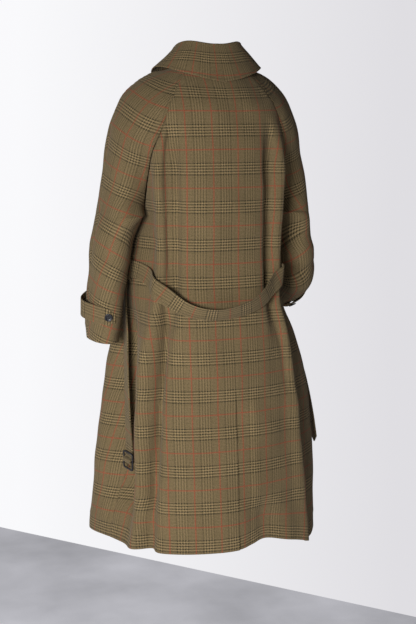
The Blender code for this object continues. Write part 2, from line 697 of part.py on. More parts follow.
def button(name, radius, point, normal, finish, collection):
    """A dished horn button with a thick rim, its back just off the cloth."""
    thick = radius * 0.30
    profile = [
        (0.0, 0.62 * thick),
        (0.62 * radius, 0.66 * thick),
        (0.74 * radius, thick),
        (0.92 * radius, 0.94 * thick),
        (radius, 0.60 * thick),
        (0.90 * radius, 0.08 * thick),
        (0.55 * radius, 0.0),
        (0.0, 0.0),
    ]
    made = turned(name, profile, finish, collection)
    spin = Vector(normal).to_track_quat("Z", "Y").to_matrix().to_4x4()
    made.matrix_world = Matrix.Translation(Vector(point)) @ spin
    return made


def front_buttons(finish, collection):
    """Buttons on the left front, down the centre line."""
    for number, drop in enumerate(FRONT_BUTTON_DROPS, 1):
        normal = body_normal(180.0, drop)
        point = body_point(180.0, drop) + normal * SEAM_GAP
        button(f"button_front_{number}", FRONT_BUTTON_RADIUS, point, normal, finish, collection)


def cuff_button(name, side, finish, collection):
    """The button near the point of a cuff tab."""
    share, step = np.array([0.88]), 1e-3
    middle = np.zeros(1)
    top = np.array([REST_GAP + CLOTH])
    point = tab_point(side, share, middle, top)[0]
    ahead = tab_point(side, share + step, middle, top)[0] - point
    aside = tab_point(side, share, middle + step, top)[0] - point
    normal = unit(np.cross(aside, ahead)) * side
    button(name, CUFF_BUTTON_RADIUS, point + normal * SEAM_GAP, normal, finish, collection)


def buckle(finish, collection):
    """A flat frame with a bar across its middle, the bar in the turned end of the belt."""
    end = np.array([LEFT_END["drop"][-1]])
    middle, normal, width = (part[0] for part in end_frame(LEFT_END, LEFT, end))
    bar = middle + normal * (BELT_THICKNESS + BAR_LOOP_RADIUS)
    half_width, half_height = BUCKLE_WIDTH / 2, BUCKLE_HEIGHT / 2
    inner_width, inner_height = half_width - BUCKLE_RIM, half_height - BUCKLE_RIM
    across = (-half_width, -inner_width, inner_width, half_width)
    above = (-half_height, -inner_height, -BUCKLE_BAR / 2, BUCKLE_BAR / 2, inner_height, half_height)
    shape = bmesh.new()
    corners = [[shape.verts.new((x, y, 0.0)) for x in across] for y in above]
    for row in range(5):
        for column in range(3):
            if column == 1 and row in (1, 3):
                continue
            lower, upper = corners[row][column : column + 2], corners[row + 1][column : column + 2]
            shape.faces.new(lower + upper[::-1])
    flat = shape.verts[:] + shape.edges[:] + shape.faces[:]
    layer = bmesh.ops.extrude_face_region(shape, geom=flat, use_keep_orig=True)
    for vertex in (part for part in layer["geom"] if isinstance(part, bmesh.types.BMVert)):
        vertex.co.z = BUCKLE_THICKNESS
    square = [
        edge
        for edge in shape.edges
        if all(abs(v.co.x) == half_width and abs(v.co.y) == half_height for v in edge.verts)
    ]
    bmesh.ops.bevel(shape, geom=square, offset=0.008, segments=3, profile=0.5, affect="EDGES")
    axes = Matrix((width, (0.0, 0.0, 1.0), normal)).transposed()
    for vertex in shape.verts:
        vertex.co = Vector(bar) + axes @ (vertex.co - Vector((0.0, 0.0, BUCKLE_THICKNESS / 2)))
    bmesh.ops.recalc_face_normals(shape, faces=shape.faces[:])
    mesh = bpy.data.meshes.new("buckle")
    shape.to_mesh(mesh)
    shape.free()
    return add_object("buckle", mesh, finish, collection)


def main():
    for leftover in list(bpy.data.objects):
        bpy.data.objects.remove(leftover, do_unlink=True)
    collection = bpy.data.collections.new("balmacaan_coat")
    bpy.context.scene.collection.children.link(collection)
    tweed = material("checked_tweed", TWEED_COLOUR, 0.9)
    horn = material("dark_horn", HORN_COLOUR, 0.35)
    for side, word in ((LEFT, "left"), (RIGHT, "right")):
        for face in ("back", "front"):
            body_panel(f"{face}_{word}", side, face, tweed, collection)
            sleeve_half(f"sleeve_{word}_{face}", side, face, tweed, collection)
        cuff_tab(f"cuff_tab_{word}", side, tweed, collection)
        cuff_button(f"button_cuff_{word}", side, horn, collection)
        belt_loop(f"belt_loop_{word}", side, tweed, collection)
    collar(tweed, collection)
    belt_swag(tweed, collection)
    belt_end("belt_end_left", LEFT_END, LEFT, tweed, collection)
    belt_end("belt_end_right", RIGHT_END, RIGHT, tweed, collection)
    front_buttons(horn, collection)
    buckle(horn, collection)


if __name__ == "__main__":
    main()
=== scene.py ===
"""Dresses the coat's solids: checked tweed with its seams and stitching, horn buttons and a buckle.

Metres, in the frame of the solids. The origin is the middle of the neck opening and the coat faces
-Y, so +Y is its back and +X is the wearer's left. A drop is a distance below the origin. An angle
round the body is 0 at the centre back, 90 at the left side seam and 180 at the centre front.
"""

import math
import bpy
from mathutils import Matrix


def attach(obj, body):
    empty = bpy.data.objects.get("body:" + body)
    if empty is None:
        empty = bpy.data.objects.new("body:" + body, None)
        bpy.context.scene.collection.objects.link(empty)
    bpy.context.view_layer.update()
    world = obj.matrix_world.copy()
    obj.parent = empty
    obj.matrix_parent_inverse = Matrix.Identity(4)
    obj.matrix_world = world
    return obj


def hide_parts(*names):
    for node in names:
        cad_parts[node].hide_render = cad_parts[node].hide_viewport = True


bl_info = {
    "name": "Balmacaan Coat",
    "version": (1, 0, 0),
    "blender": (4, 5, 0),
    "location": "View3D > Sidebar > Coat",
    "description": "Makes a checked tweed coat, its belt and its buttons over the coat's solids",
    "category": "Object",
}

import bmesh
import bpy
import numpy as np
from bpy.props import FloatProperty, FloatVectorProperty, PointerProperty
from mathutils import Matrix, Vector

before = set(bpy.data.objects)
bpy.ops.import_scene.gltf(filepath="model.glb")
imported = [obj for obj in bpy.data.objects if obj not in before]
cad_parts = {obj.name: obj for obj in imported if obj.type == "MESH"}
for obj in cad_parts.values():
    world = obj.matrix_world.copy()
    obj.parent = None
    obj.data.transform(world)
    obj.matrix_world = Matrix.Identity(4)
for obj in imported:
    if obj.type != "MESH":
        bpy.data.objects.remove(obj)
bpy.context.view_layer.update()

LEFT, RIGHT = 1, -1
WORDS = {LEFT: "left", RIGHT: "right"}
TINY = 1e-4

# Cloth, seams and main sizes, as in the solids
CLOTH = 0.0022
SEAM_GAP = 0.0003
LAYER_GAP = 0.0015
REST_GAP = 0.0012
COAT_LENGTH = 1.127
UNDERARM_DROP = 0.345
UNDERARM_SHARE = 0.50
UNDERARM_EASE = 0.30
UNDERARM_BLEND = 0.10
CREASE_START = 0.08
NECK_BLEND = 0.03
FRONT_OVERLAP = 0.030
VENT_TOP_DROP = 0.86
VENT_UNDERLAP = 0.045
LOOP_DROPS = {LEFT: 0.472, RIGHT: 0.464}
LOOP_GAPS = {LEFT: 0.0006, RIGHT: 0.0013}
LOOP_WIDTH = 0.008
LOOP_HEIGHT = 0.064
LOOP_THICKNESS = 0.0012
LOOP_RISE = 0.17
SIDE_RADIUS = 0.157
BELT_WIDTH = 0.040
BELT_THICKNESS = 0.0032
BELT_TIP_POINT = 0.018
BELT_MITRE = (86, 97)
BAR_LOOP_START = 0.94
BAR_LOOP_RADIUS = 0.0030
BAR_LOOP_TURN = 292.0
TAB_WIDTH = 0.042
TAB_ROUND = (0.70, 0.23)
TAB_ALONG = (0.71, 0.79)
TAB_BULGE = {LEFT: 0.013, RIGHT: 0.004}
TAB_BULGE_MIDDLE = 0.44
TAB_BULGE_WIDTH = 0.20
TAB_POINT = 0.45
TAB_POINT_START = 0.82
TAB_BUTTON = 0.88
TUBE_LENGTH = 0.302
COLLAR_STAND = 0.4
COLLAR_FALL = 0.6
COLLAR_FOLD = 0.0055
COLLAR_BOW = 0.004
COLLAR_SPREAD = 0.65
COLLAR_FRONT_GAP = 7.0
FRONT_BUTTON_DROPS = (0.215, 0.365, 0.515, 0.665)

# The finer relief of the visible cloth: heights, and the distances over which it fades
SEAM_JOIN = 0.00003
SEAM_DIP, SEAM_DIP_WIDTH = 0.0015, 0.0028
PUCKER_WIDTH = 0.012
CENTRE_SEAM_SHARE = 0.35
HEM_TURN_UP, HEM_RIDGE, HEM_RIDGE_WIDTH = 0.040, 0.0007, 0.006
CUFF_TURN_UP, CUFF_RIDGE, CUFF_RIDGE_WIDTH = 0.030, 0.0006, 0.005
TURN_UP_EXTRA = 0.9
FOLD_LINE_START, FOLD_LINE_END = 0.06, 0.10
LOOP_CROWN = 0.0004
NEAR_LOOP_ANGLE, NEAR_LOOP_DROP, NEAR_LOOP_HEIGHT = 12, 0.47, 0.06
EDGE_ROUND, EDGE_ANGLE = 0.0007, 60
VENT_EASE, UNDER_START, UNDER_EASE, LAYER_EASE, SEWN_EASE = 0.02, 0.12, 0.06, 0.02, 0.03
PANEL_CLEAR, OPEN_EDGE_CLEAR, SLEEVE_CLEAR = 0.025, 0.06, 0.02
SLEEVE_UNEVENNESS, COLLAR_UNEVENNESS = 1.2, 0.6
BELT_BAND_START = 0.040
STRIP_ASIDE = 0.022
UNSTITCHED = 1.0

# The weave and its contrast, the heathered yarn, and the rows of stitches
BAND_THREADS = 36.0
RED_THREADS = 1.9
STRAY = 0.0011
NAP_FINENESS = 1300.0
WEFT_BAND_COVER, WARP_BAND_COVER = 0.75, 0.25
CONTRAST = 0.30
BAND_CONTRAST = {"warp": 0.15, "weft": 0.36}
CROSSING_CONTRAST = {"warp": 0.38, "weft": 0.20}
RED_SHOWN, RED_UNDER = 0.42, 0.32
GREENER, REDDER = (0.80, 0.86, 0.66), (1.18, 1.12, 1.16)
STITCH_MARGIN, STITCH_LENGTH, STITCH_SHARE = 0.006, 0.0042, 0.7
STITCH_HALF_WIDTH, STITCH_DENT_WIDTH = 0.0005, 0.0025

# Buttons, as shares of their radius, and the rounding of the buckle
BUTTON_THICKNESS = 0.30
BUTTON_DISH = 0.60
HOLE_APART, HOLE_RADIUS = 0.20, 0.085
THREAD_RADIUS, THREAD_APART, THREAD_SUNK, THREAD_RISE = 0.055, 0.7, 0.3, 0.55
BUCKLE_CORNER, BUCKLE_EDGE = 0.008, 0.0009

# Stage
CAMERA_TARGET = (-0.006, -0.002, -0.590)
LIGHT_PLACE, LIGHT_TARGET = (2.25, 2.75, -0.20), (0.0, 0.0, -0.90)
LIGHT_SIZE, LIGHT_SPREAD = (1.2, 0.8), 90
# FLOOR_GLOW is the strength of the floor's glow, painted light that lights the coat from below
FLOOR_SIZE, FLOOR_GLOW = 4.0, 0.40
FLOOR_LINE, FLOOR_ASIDE, FLOOR_START = (-0.594, 0.804, 0.0), (0.804, 0.594, 0.0), (-0.212, -0.678)
LEFT_TO_RIGHT = (0.927, -0.375, 0.0)
ROOM_LEFT, ROOM_RIGHT, ROOM_ABOVE = (1.0, 0.99, 0.97), (0.40, 0.39, 0.38), (0.14, 0.14, 0.15)
# The wall that the camera sees, with painted shade that darkens it from the left towards the right
WALL_LEFT, WALL_RIGHT = (0.95, 0.95, 0.97), (0.74, 0.73, 0.76)


def table(columns, *rows):
    """A short table, as one array for each named column."""
    return dict(zip(columns.split(), np.array(rows, float).T))


# Rings of the body, from the neck seam to the hem
BODY = table(
    "drop side_lift front_drop half_width back front squareness",
    (0.000, 0.022, 0.080, 0.078, 0.070, 0.078, 2.0),
    (0.030, 0.018, 0.078, 0.118, 0.103, 0.100, 2.1),
    (0.080, 0.008, 0.066, 0.168, 0.138, 0.124, 2.3),
    (0.150, 0.000, 0.040, 0.182, 0.154, 0.142, 2.5),
    (0.250, 0.000, 0.012, 0.172, 0.160, 0.152, 2.7),
    (0.345, 0.000, 0.000, 0.159, 0.162, 0.156, 2.7),
    (0.480, 0.000, 0.000, 0.154, 0.165, 0.160, 2.7),
    (0.640, 0.000, 0.000, 0.200, 0.178, 0.170, 2.5),
    (0.740, 0.000, 0.000, 0.221, 0.187, 0.178, 2.4),
    (0.870, 0.000, 0.000, 0.237, 0.197, 0.186, 2.3),
    (1.127, 0.000, 0.000, 0.250, 0.217, 0.200, 2.3),
)

# Long folds of the body. A height above 0 is a ridge, below 0 a trough.
FOLDS = table(
    "angle_start angle_hem half_width height start full fade end",
    (96, 96, 26.0, 0.037, 0.33, 0.46, 0.49, 0.66),
    (46, 47, 4.5, -0.016, 0.10, 0.24, 0.54, 0.70),
    (57, 58, 7.0, 0.019, 0.12, 0.28, 0.52, 0.70),
    (52, 57, 5.0, -0.028, 0.50, 0.62, 2.00, 2.20),
    (64, 65, 6.5, 0.014, 0.54, 0.70, 2.00, 2.20),
    (99, 75.5, 13.0, -0.070, 0.47, 0.80, 0.93, 1.18),
    (112, 108, 15.0, 0.030, 0.50, 0.68, 2.00, 2.20),
    (112, 112, 13.0, 0.010, 0.84, 1.10, 2.00, 2.20),
    (-36, -38, 5.0, -0.019, 0.10, 0.24, 0.52, 0.68),
    (-46, -50, 6.0, 0.018, 0.10, 0.26, 0.46, 0.58),
    (-41, -52, 5.0, 0.016, 0.46, 0.60, 1.10, 2.20),
    (-55, -64, 6.0, -0.004, 0.44, 0.62, 1.10, 2.20),
    (-80, -84, 14.0, 0.032, 0.50, 0.80, 1.00, 2.00),
    (-20, -21, 13.0, -0.020, 0.96, 1.09, 2.00, 2.20),
    (138, 142, 8.0, -0.016, 0.55, 0.90, 2.00, 2.20),
    (158, 160, 8.0, 0.010, 0.60, 0.95, 2.00, 2.20),
    (-126, -124, 9.0, -0.018, 0.52, 0.85, 2.00, 2.20),
    (-150, -152, 9.0, 0.012, 0.58, 0.92, 2.00, 2.20),
)

# Where the hem rides up or hangs down
HEM = table("angle half_width lift", (-21, 13, 0.014), (-66, 18, -0.034))
HEM_REACH = 0.14

# Raglan rows: where the seams cross the body ring, which way the sleeve leaves them, how full it is
# there, and the ridge line over the shoulder
RAGLAN = table(
    "drop back_angle front_angle back_turn front_turn fullness top_out top_fore top_drop",
    (0.000, 50, 122, -50, -34, 1.00, 0.0780, 0.000, -0.0020),
    (0.030, 50, 124, -42, -36, 1.10, 0.1300, -0.004, 0.0125),
    (0.080, 51, 126, -34, -34, 1.15, 0.1900, -0.010, 0.0510),
    (0.150, 56, 125, -20, -24, 1.20, 0.2290, -0.014, 0.1230),
    (0.220, 66, 118, -4, -6, 1.40, 0.2460, -0.015, 0.2040),
    (0.290, 78, 106, 36, 34, 1.90, 0.2575, -0.014, 0.2830),
    (0.345, 90, 90, 84, 84, 2.90, 0.2660, -0.012, 0.3450),
)

# Sleeve rings below the underarm: the centre, and half the width and depth of the ring
TUBE_COLUMNS = "drop out fore half_out half_depth"
TUBES = {
    LEFT: table(
        TUBE_COLUMNS,
        (0.345, 0.2140, -0.010, 0.0530, 0.080),
        (0.420, 0.2370, -0.007, 0.0475, 0.077),
        (0.500, 0.2520, -0.009, 0.0425, 0.071),
        (0.575, 0.2555, -0.014, 0.0405, 0.066),
        (0.640, 0.2585, -0.019, 0.0370, 0.063),
    ),
    RIGHT: table(
        TUBE_COLUMNS,
        (0.3450, 0.2140, -0.010, 0.0530, 0.0800),
        (0.4200, 0.2270, -0.008, 0.0500, 0.0730),
        (0.4640, 0.2400, -0.014, 0.0480, 0.0680),
        (0.4960, 0.2490, -0.030, 0.0480, 0.0660),
        (0.5150, 0.2520, -0.050, 0.0470, 0.0650),
        (0.5240, 0.2510, -0.065, 0.0465, 0.0640),
        (0.5596, 0.2400, -0.142, 0.0430, 0.0620),
    ),
}

# Creases across the sleeves: place along the tube, place round it (0 at the underarm seam, 0.25 at
# the back, 0.5 at the outer seam), their half sizes, height and slant
CREASE_COLUMNS = "along round half_along half_round height slant"
CREASES = {
    LEFT: table(
        CREASE_COLUMNS,
        (0.16, 0.14, 0.09, 0.14, -0.0080, 0.30),
        (0.42, 0.74, 0.10, 0.16, -0.0060, -0.25),
    ),
    RIGHT: table(
        CREASE_COLUMNS,
        (0.20, 0.18, 0.09, 0.14, -0.0080, 0.20),
        (0.50, 0.22, 0.10, 0.16, 0.0060, 0.05),
    ),
}

# Finer creases of the sleeves, in the same columns, with the place along the whole sleeve
FINE_CREASES = {
    LEFT: table(
        CREASE_COLUMNS,
        (0.47, 0.16, 0.018, 0.13, -0.0040, 0.22),
        (0.53, 0.20, 0.016, 0.14, 0.0026, 0.26),
        (0.57, 0.16, 0.014, 0.12, -0.0034, 0.24),
        (0.66, 0.20, 0.020, 0.16, -0.0026, 0.10),
        (0.74, 0.18, 0.022, 0.14, 0.0024, -0.10),
        (0.62, 0.76, 0.020, 0.16, -0.0032, -0.20),
        (0.70, 0.80, 0.020, 0.14, 0.0026, -0.14),
    ),
    RIGHT: table(
        CREASE_COLUMNS,
        (0.48, 0.18, 0.016, 0.14, -0.0040, 0.20),
        (0.53, 0.22, 0.015, 0.15, 0.0028, 0.22),
        (0.58, 0.20, 0.015, 0.15, -0.0038, 0.20),
        (0.66, 0.26, 0.018, 0.16, 0.0030, 0.08),
        (0.72, 0.24, 0.015, 0.18, -0.0040, 0.04),
        (0.78, 0.20, 0.018, 0.14, 0.0026, -0.06),
        (0.66, 0.80, 0.020, 0.14, -0.0050, -0.06),
        (0.73, 0.82, 0.018, 0.13, -0.0036, 0.04),
    ),
}

# Sharp lines at the foot of the body's folds
FOLD_LINES = table(
    "angle_top angle_low top low half_width depth",
    (50.5, 51.0, 0.11, 0.55, 1.6, 0.009),
    (52.0, 57.0, 0.50, 1.08, 1.8, 0.010),
    (-38.5, -40.5, 0.12, 0.50, 1.8, 0.007),
    (-37.5, -42.0, 0.52, 0.80, 1.6, 0.007),
)

# Finer creases of the body: place, half sizes in degrees and metres, height, and fall per degree
BODY_CREASES = table(
    "angle drop half_angle half_drop height slant",
    (66, 0.330, 12, 0.010, -0.0030, 0.0016),
    (64, 0.372, 12, 0.012, 0.0022, 0.0012),
    (68, 0.410, 11, 0.011, -0.0026, 0.0006),
    (-66, 0.330, 12, 0.010, -0.0028, -0.0016),
    (-64, 0.368, 12, 0.012, 0.0022, -0.0012),
    (62, 0.540, 8, 0.030, 0.0024, 0.0030),
    (-62, 0.520, 8, 0.028, 0.0022, -0.0030),
    (8, 0.300, 30, 0.060, 0.0016, 0.0006),
    (-14, 0.420, 26, 0.050, -0.0014, -0.0006),
    (16, 0.700, 22, 0.090, 0.0022, 0.0010),
    (-24, 0.780, 16, 0.090, -0.0020, -0.0008),
    (30, 0.930, 14, 0.080, 0.0022, 0.0012),
)

# The belt across the back: middle line, how far it stands off, and how much further its upper edge does
BELT_SWAG = table(
    "angle drop stand_off lean",
    (-97, 0.464, 0.0018, 0.000),
    (-86, 0.464, 0.0018, 0.000),
    (-64, 0.472, 0.0020, 0.001),
    (-40, 0.499, 0.0030, 0.006),
    (-20, 0.541, 0.0050, 0.018),
    (0, 0.561, 0.0060, 0.026),
    (16, 0.566, 0.0060, 0.028),
    (34, 0.553, 0.0090, 0.022),
    (49, 0.525, 0.0110, 0.010),
    (66, 0.491, 0.0050, 0.002),
    (86, 0.473, 0.0018, 0.000),
    (97, 0.472, 0.0018, 0.000),
)

# The belt's hanging ends: the middle line, and the way that the outer face looks
END_COLUMNS = "drop out fore face"
BELT_ENDS = {
    LEFT: table(
        END_COLUMNS,
        (0.4528, 0.1922, -0.0225, 97),
        (0.530, 0.1975, -0.0262, 99),
        (0.640, 0.2005, -0.0130, 96),
        (0.740, 0.2040, -0.0010, 96),
        (0.840, 0.2080, 0.0200, 92),
        (0.930, 0.2110, 0.0400, 84),
    ),
    RIGHT: table(
        END_COLUMNS,
        (0.444, 0.1562, -0.0192, 97),
        (0.480, 0.1650, -0.0230, 96),
        (0.520, 0.1790, -0.0275, 95),
        (0.560, 0.1930, -0.0280, 94),
        (0.600, 0.2090, -0.0260, 93),
        (0.660, 0.2330, -0.0200, 92),
        (0.760, 0.2650, -0.0120, 90),
        (0.860, 0.2860, -0.0050, 88),
        (0.943, 0.2980, 0.0000, 86),
    ),
}

# The collar: the height of its stand, and how far out and how high the edge of its fall lies
COLLAR = table(
    "angle stand out height",
    (0, 0.044, 0.047, -0.036),
    (45, 0.041, 0.050, -0.026),
    (90, 0.035, 0.056, -0.007),
    (125, 0.032, 0.048, -0.014),
    (152, 0.028, 0.050, -0.036),
    (168, 0.026, 0.058, -0.066),
    (173, 0.025, 0.058, -0.078),
)

# Slow unevenness of heavy cloth: waves through space, with their length and height in metres
WAVES = table(
    "across fore up length height phase",
    (1.0, 0.3, 0.2, 0.170, 0.0009, 0.3),
    (-0.4, 1.0, 0.5, 0.130, 0.0008, 1.9),
    (0.5, -0.3, 1.0, 0.150, 0.0008, 4.1),
    (0.9, 0.6, -0.7, 0.085, 0.0005, 2.7),
    (-0.7, 0.5, 0.9, 0.064, 0.0004, 5.2),
    (0.6, 0.9, 0.3, 0.047, 0.0003, 0.8),
)

# Small puckers along a seam, as waves
PUCKERS = table("length height phase", (0.013, 0.00035, 0.0), (0.031, 0.00030, 1.0))

# How far the threads of a sleeve lean from its line, in degrees, down its upper seam in metres
SLEEVE_LEAN = table("length lean", (0.0, 4), (0.15, 8), (0.40, 16), (0.80, 16))

# A button's outline from its middle over the rim to the back: shares of its radius and thickness
BUTTON_PROFILE = (
    ((0.0, BUTTON_DISH), (0.35, BUTTON_DISH), (0.56, 0.63), (0.64, 0.74), (0.70, 0.90))
    + ((0.77, 0.99), (0.84, 1.0), (0.91, 0.95), (0.965, 0.83), (0.995, 0.66))
    + ((1.0, 0.52), (0.97, 0.28), (0.90, 0.08), (0.55, 0.0), (0.0, 0.0))
)


# Shapes that the solids have too


def smooth(t):
    """Rises from 0 to 1 with level ends."""
    t = np.clip(t, 0.0, 1.0)
    return t * t * (3.0 - 2.0 * t)


def bell(t):
    """1 at 0, fading to both sides."""
    return np.exp(-(t**2))


def joined(*parts):
    """Points or directions from their parts."""
    return np.stack(parts, axis=-1)


def along(rows, key, name, at):
    """Column name of a table, read at places along column key on a smooth curve through the rows."""
    x, y = rows[key], rows[name]
    slope = np.gradient(y, x)
    at = np.clip(at, x[0], x[-1])
    i = np.clip(np.searchsorted(x, at, side="right") - 1, 0, len(x) - 2)
    step = x[i + 1] - x[i]
    t = (at - x[i]) / step
    start = (1 + 2 * t) * (1 - t) ** 2 * y[i] + t * (1 - t) ** 2 * step * slope[i]
    end = t * t * (3 - 2 * t) * y[i + 1] - t * t * (1 - t) * step * slope[i + 1]
    return start + end


def unit(vectors):
    return vectors / np.linalg.norm(vectors, axis=-1, keepdims=True)


def fold_height(angle, drop, ridges_only=False):
    """How far the folds move the body's cloth out at these places."""
    total = np.zeros(np.broadcast(angle, drop).shape)
    for first, last, half, height, start, full, fade, end in zip(*FOLDS.values()):
        if ridges_only and height < 0:
            continue
        middle = first + (last - first) * np.clip((drop - start) / (COAT_LENGTH - start), 0, 1)
        size = height * smooth((drop - start) / (full - start))
        size = size * (1 - smooth((drop - fade) / (end - fade)))
        total = total + size * bell((angle - middle) / half)
    return total


def body_point(angle, drop, out=0.0, ridges_only=False):
    """A place on the body's outer surface, or a distance out from it in its ring's plane."""
    angle, drop = np.broadcast_arrays(np.asarray(angle, float), np.asarray(drop, float))
    ring = {name: along(BODY, "drop", name, drop) for name in BODY if name != "drop"}
    turn = np.radians(angle)
    side, back = np.sin(turn), np.cos(turn)
    deep = np.where(back > 0, ring["back"], ring["front"])
    power = ring["squareness"]
    radius = (np.abs(side / ring["half_width"]) ** power + np.abs(back / deep) ** power) ** (-1 / power)
    radius = radius + fold_height((angle + 180) % 360 - 180, drop, ridges_only) + out
    near_hem = smooth((drop - (COAT_LENGTH - HEM_REACH)) / HEM_REACH)
    lift = sum(lift * bell((angle - at) / half) for at, half, lift in zip(*HEM.values())) * near_hem
    lift = lift + ring["side_lift"] * side**2
    height = lift - drop - ring["front_drop"] * ((1 - back) / 2) ** 2
    return joined(radius * side, radius * back, height)


def raglan_angle(face, drop):
    """The angle where a raglan seam crosses the body ring. Below the underarm it is the side seam."""
    return np.where(drop < UNDERARM_DROP, along(RAGLAN, "drop", face + "_angle", drop), 90.0)


def sleeve_arc(side, drop, round_share):
    """The raglan part: from the back seam over the shoulder line to the front seam."""
    row = {name: along(RAGLAN, "drop", name, drop) for name in RAGLAN if name != "drop"}
    back_angle, front_angle = raglan_angle("back", drop), raglan_angle("front", drop)
    behind = round_share < 0.5
    seam = body_point(side * np.where(behind, back_angle, front_angle), drop)
    top = joined(side * row["top_out"], row["top_fore"], -row["top_drop"])
    turn = np.radians(np.where(behind, row["back_turn"], row["front_turn"]))
    way, level = np.where(behind, 1.0, -1.0), np.zeros_like(turn)
    leave = joined(side * np.cos(turn), way * np.sin(turn), level)
    arrive = joined(level, -way, level)
    chord = np.linalg.norm((top - seam)[..., :2], axis=-1) * row["fullness"]
    t = np.where(behind, round_share, 1 - round_share) * 2
    pull = (chord * t * (1 - t) ** 2)[..., None] * leave - (chord * t * t * (1 - t))[..., None] * arrive
    share = smooth(t)[..., None]
    arc = seam * (1 - share) + top * share + pull
    neck = body_point(side * (back_angle + (front_angle - back_angle) * round_share), drop)
    blend = smooth(drop / NECK_BLEND)[..., None]
    return neck * (1 - blend) + arc * blend


def tube_frame(side, share):
    """Centre and axes of a sleeve ring, a share of the way from the underarm to the cuff."""
    tube = TUBES[side]
    steps = np.sqrt(sum(np.diff(tube[name]) ** 2 for name in ("drop", "out", "fore")))
    ring = {**tube, "share": np.concatenate([[0.0], np.cumsum(steps)]) / steps.sum()}

    def centre(at):
        out, fore, drop = (along(ring, "share", name, at) for name in ("out", "fore", "drop"))
        return joined(side * out, fore, -drop)

    step = 0.03
    low, high = np.clip(share - step, 0, 1), np.clip(share + step, 0, 1)
    ahead = unit(centre(high) - centre(low))
    outward = np.broadcast_to(np.array([float(side), 0.0, 0.0]), ahead.shape)
    outward = unit(outward - (outward * ahead).sum(-1, keepdims=True) * ahead)
    backward = np.cross(ahead, outward) * -side
    sizes = along(ring, "share", "half_out", share), along(ring, "share", "half_depth", share)
    return centre(share), outward, backward, *sizes


def crease_height(rows, share, round_share):
    """How far creases move a sleeve's cloth out at these places."""
    total = np.zeros(np.broadcast(share, round_share).shape)
    for place, middle, long, wide, height, slant in zip(*rows.values()):
        aside = (round_share - middle + 0.5) % 1.0 - 0.5
        total = total + height * bell((share - place - slant * aside) / long) * bell(aside / wide)
    return total


def sleeve_tube(side, share, round_share):
    """The tube below the underarm: rings across the arm's line."""
    centre, outward, backward, half_out, half_depth = tube_frame(side, share)
    turn = 2 * np.pi * round_share
    crease = crease_height(CREASES[side], share, round_share) * smooth(share / CREASE_START)
    across = -np.cos(turn) * (half_out + crease)
    along_depth = np.sin(turn) * (half_depth + crease)
    return centre + across[..., None] * outward + along_depth[..., None] * backward


def sleeve_point(side, round_share, down):
    """A place on a sleeve: down is 0 at the neck, UNDERARM_SHARE at the underarm and 1 at the cuff."""
    round_share, down = np.broadcast_arrays(np.asarray(round_share, float), np.asarray(down, float))
    drop = UNDERARM_DROP * np.clip(down / UNDERARM_SHARE, 0, 1)
    share = np.clip((down - UNDERARM_SHARE) / (1 - UNDERARM_SHARE), 0, 1)
    arc, tube = sleeve_arc(side, drop, round_share), sleeve_tube(side, share, round_share)
    joint = sleeve_arc(side, np.full_like(share, UNDERARM_DROP), round_share)
    start = sleeve_tube(side, np.zeros_like(share), round_share)
    tube = tube + (joint - start) * (1 - smooth(share / UNDERARM_EASE))[..., None]
    blend = smooth((down - UNDERARM_SHARE) / UNDERARM_BLEND)[..., None]
    return arc * (1 - blend) + tube * blend


def sleeve_normal(side, round_share, down):
    over = sleeve_point(side, round_share + TINY, down) - sleeve_point(side, round_share - TINY, down)
    lower = sleeve_point(side, round_share, down + TINY) - sleeve_point(side, round_share, down - TINY)
    return unit(np.cross(over, lower)) * side


def collar_point(angle, across):
    """The collar: across is 0 at the neck seam and 1 at the edge of the fall."""
    neck = body_point(angle, np.zeros_like(angle))
    turn = np.radians(angle)
    outward = joined(np.sin(turn), np.cos(turn))
    stand_up, edge_out, edge_height = (
        along(COLLAR, "angle", name, np.abs(angle)) for name in ("stand", "out", "height")
    )
    stand = np.clip(across / COLLAR_STAND, 0, 1)
    roll = np.clip((across - COLLAR_STAND) / (COLLAR_FALL - COLLAR_STAND), 0, 1) * np.pi
    fall = np.clip((across - COLLAR_FALL) / (1 - COLLAR_FALL), 0, 1)
    out = -COLLAR_BOW * smooth(stand) + COLLAR_FOLD * (1 - np.cos(roll))
    up = REST_GAP + stand_up * stand + COLLAR_FOLD * np.sin(roll)
    top_out, top_up = 2 * COLLAR_FOLD - COLLAR_BOW, REST_GAP + stand_up
    out = out + (edge_out - top_out) * (COLLAR_SPREAD * fall + (1 - COLLAR_SPREAD) * fall**2)
    out = out + COLLAR_BOW * np.sin(np.pi * fall)
    up = up + (edge_height - top_up) * fall
    ring = neck[..., :2] + out[..., None] * outward
    return np.concatenate([ring, (neck[..., 2] + up)[..., None]], axis=-1)


def belt_swag_point(share, across, depth):
    """The belt across the back: across is 0.5 at the upper edge and -0.5 at the lower edge."""
    angle = BELT_SWAG["angle"][0] + np.ptp(BELT_SWAG["angle"]) * share
    drop, stand_off, lean, before, after = (
        along(BELT_SWAG, "angle", name, angle + turn)
        for name, turn in (("drop", 0), ("stand_off", 0), ("lean", 0), ("drop", -1), ("drop", 1))
    )
    radius = np.linalg.norm(body_point(angle, drop, ridges_only=True)[..., :2], axis=-1)
    slope = np.arctan2((after - before) / 2, np.radians(radius))
    mitre = np.clip((np.abs(angle) - BELT_MITRE[0]) / np.ptp(BELT_MITRE), 0, 1) * np.sign(angle)
    shift = across * BELT_WIDTH
    angle = angle + np.degrees((shift * np.sin(slope) + mitre * shift) / radius)
    drop = drop - shift * np.cos(slope) * np.sqrt(1 - (lean / BELT_WIDTH) ** 2)
    out = stand_off + lean * (across + 0.5) + BELT_THICKNESS * (1 - depth)
    return body_point(angle, drop, out, ridges_only=True)


def end_frame(rows, side, drop):
    """Middle line and axes of a hanging belt end."""
    out, fore, face = (along(rows, "drop", name, drop) for name in ("out", "fore", "face"))
    turn = np.radians(face)
    normal = joined(side * np.sin(turn), np.cos(turn), np.zeros_like(turn))
    width = joined(side * np.cos(turn), -np.sin(turn), np.zeros_like(turn))
    return joined(side * out, fore, -drop), normal, width


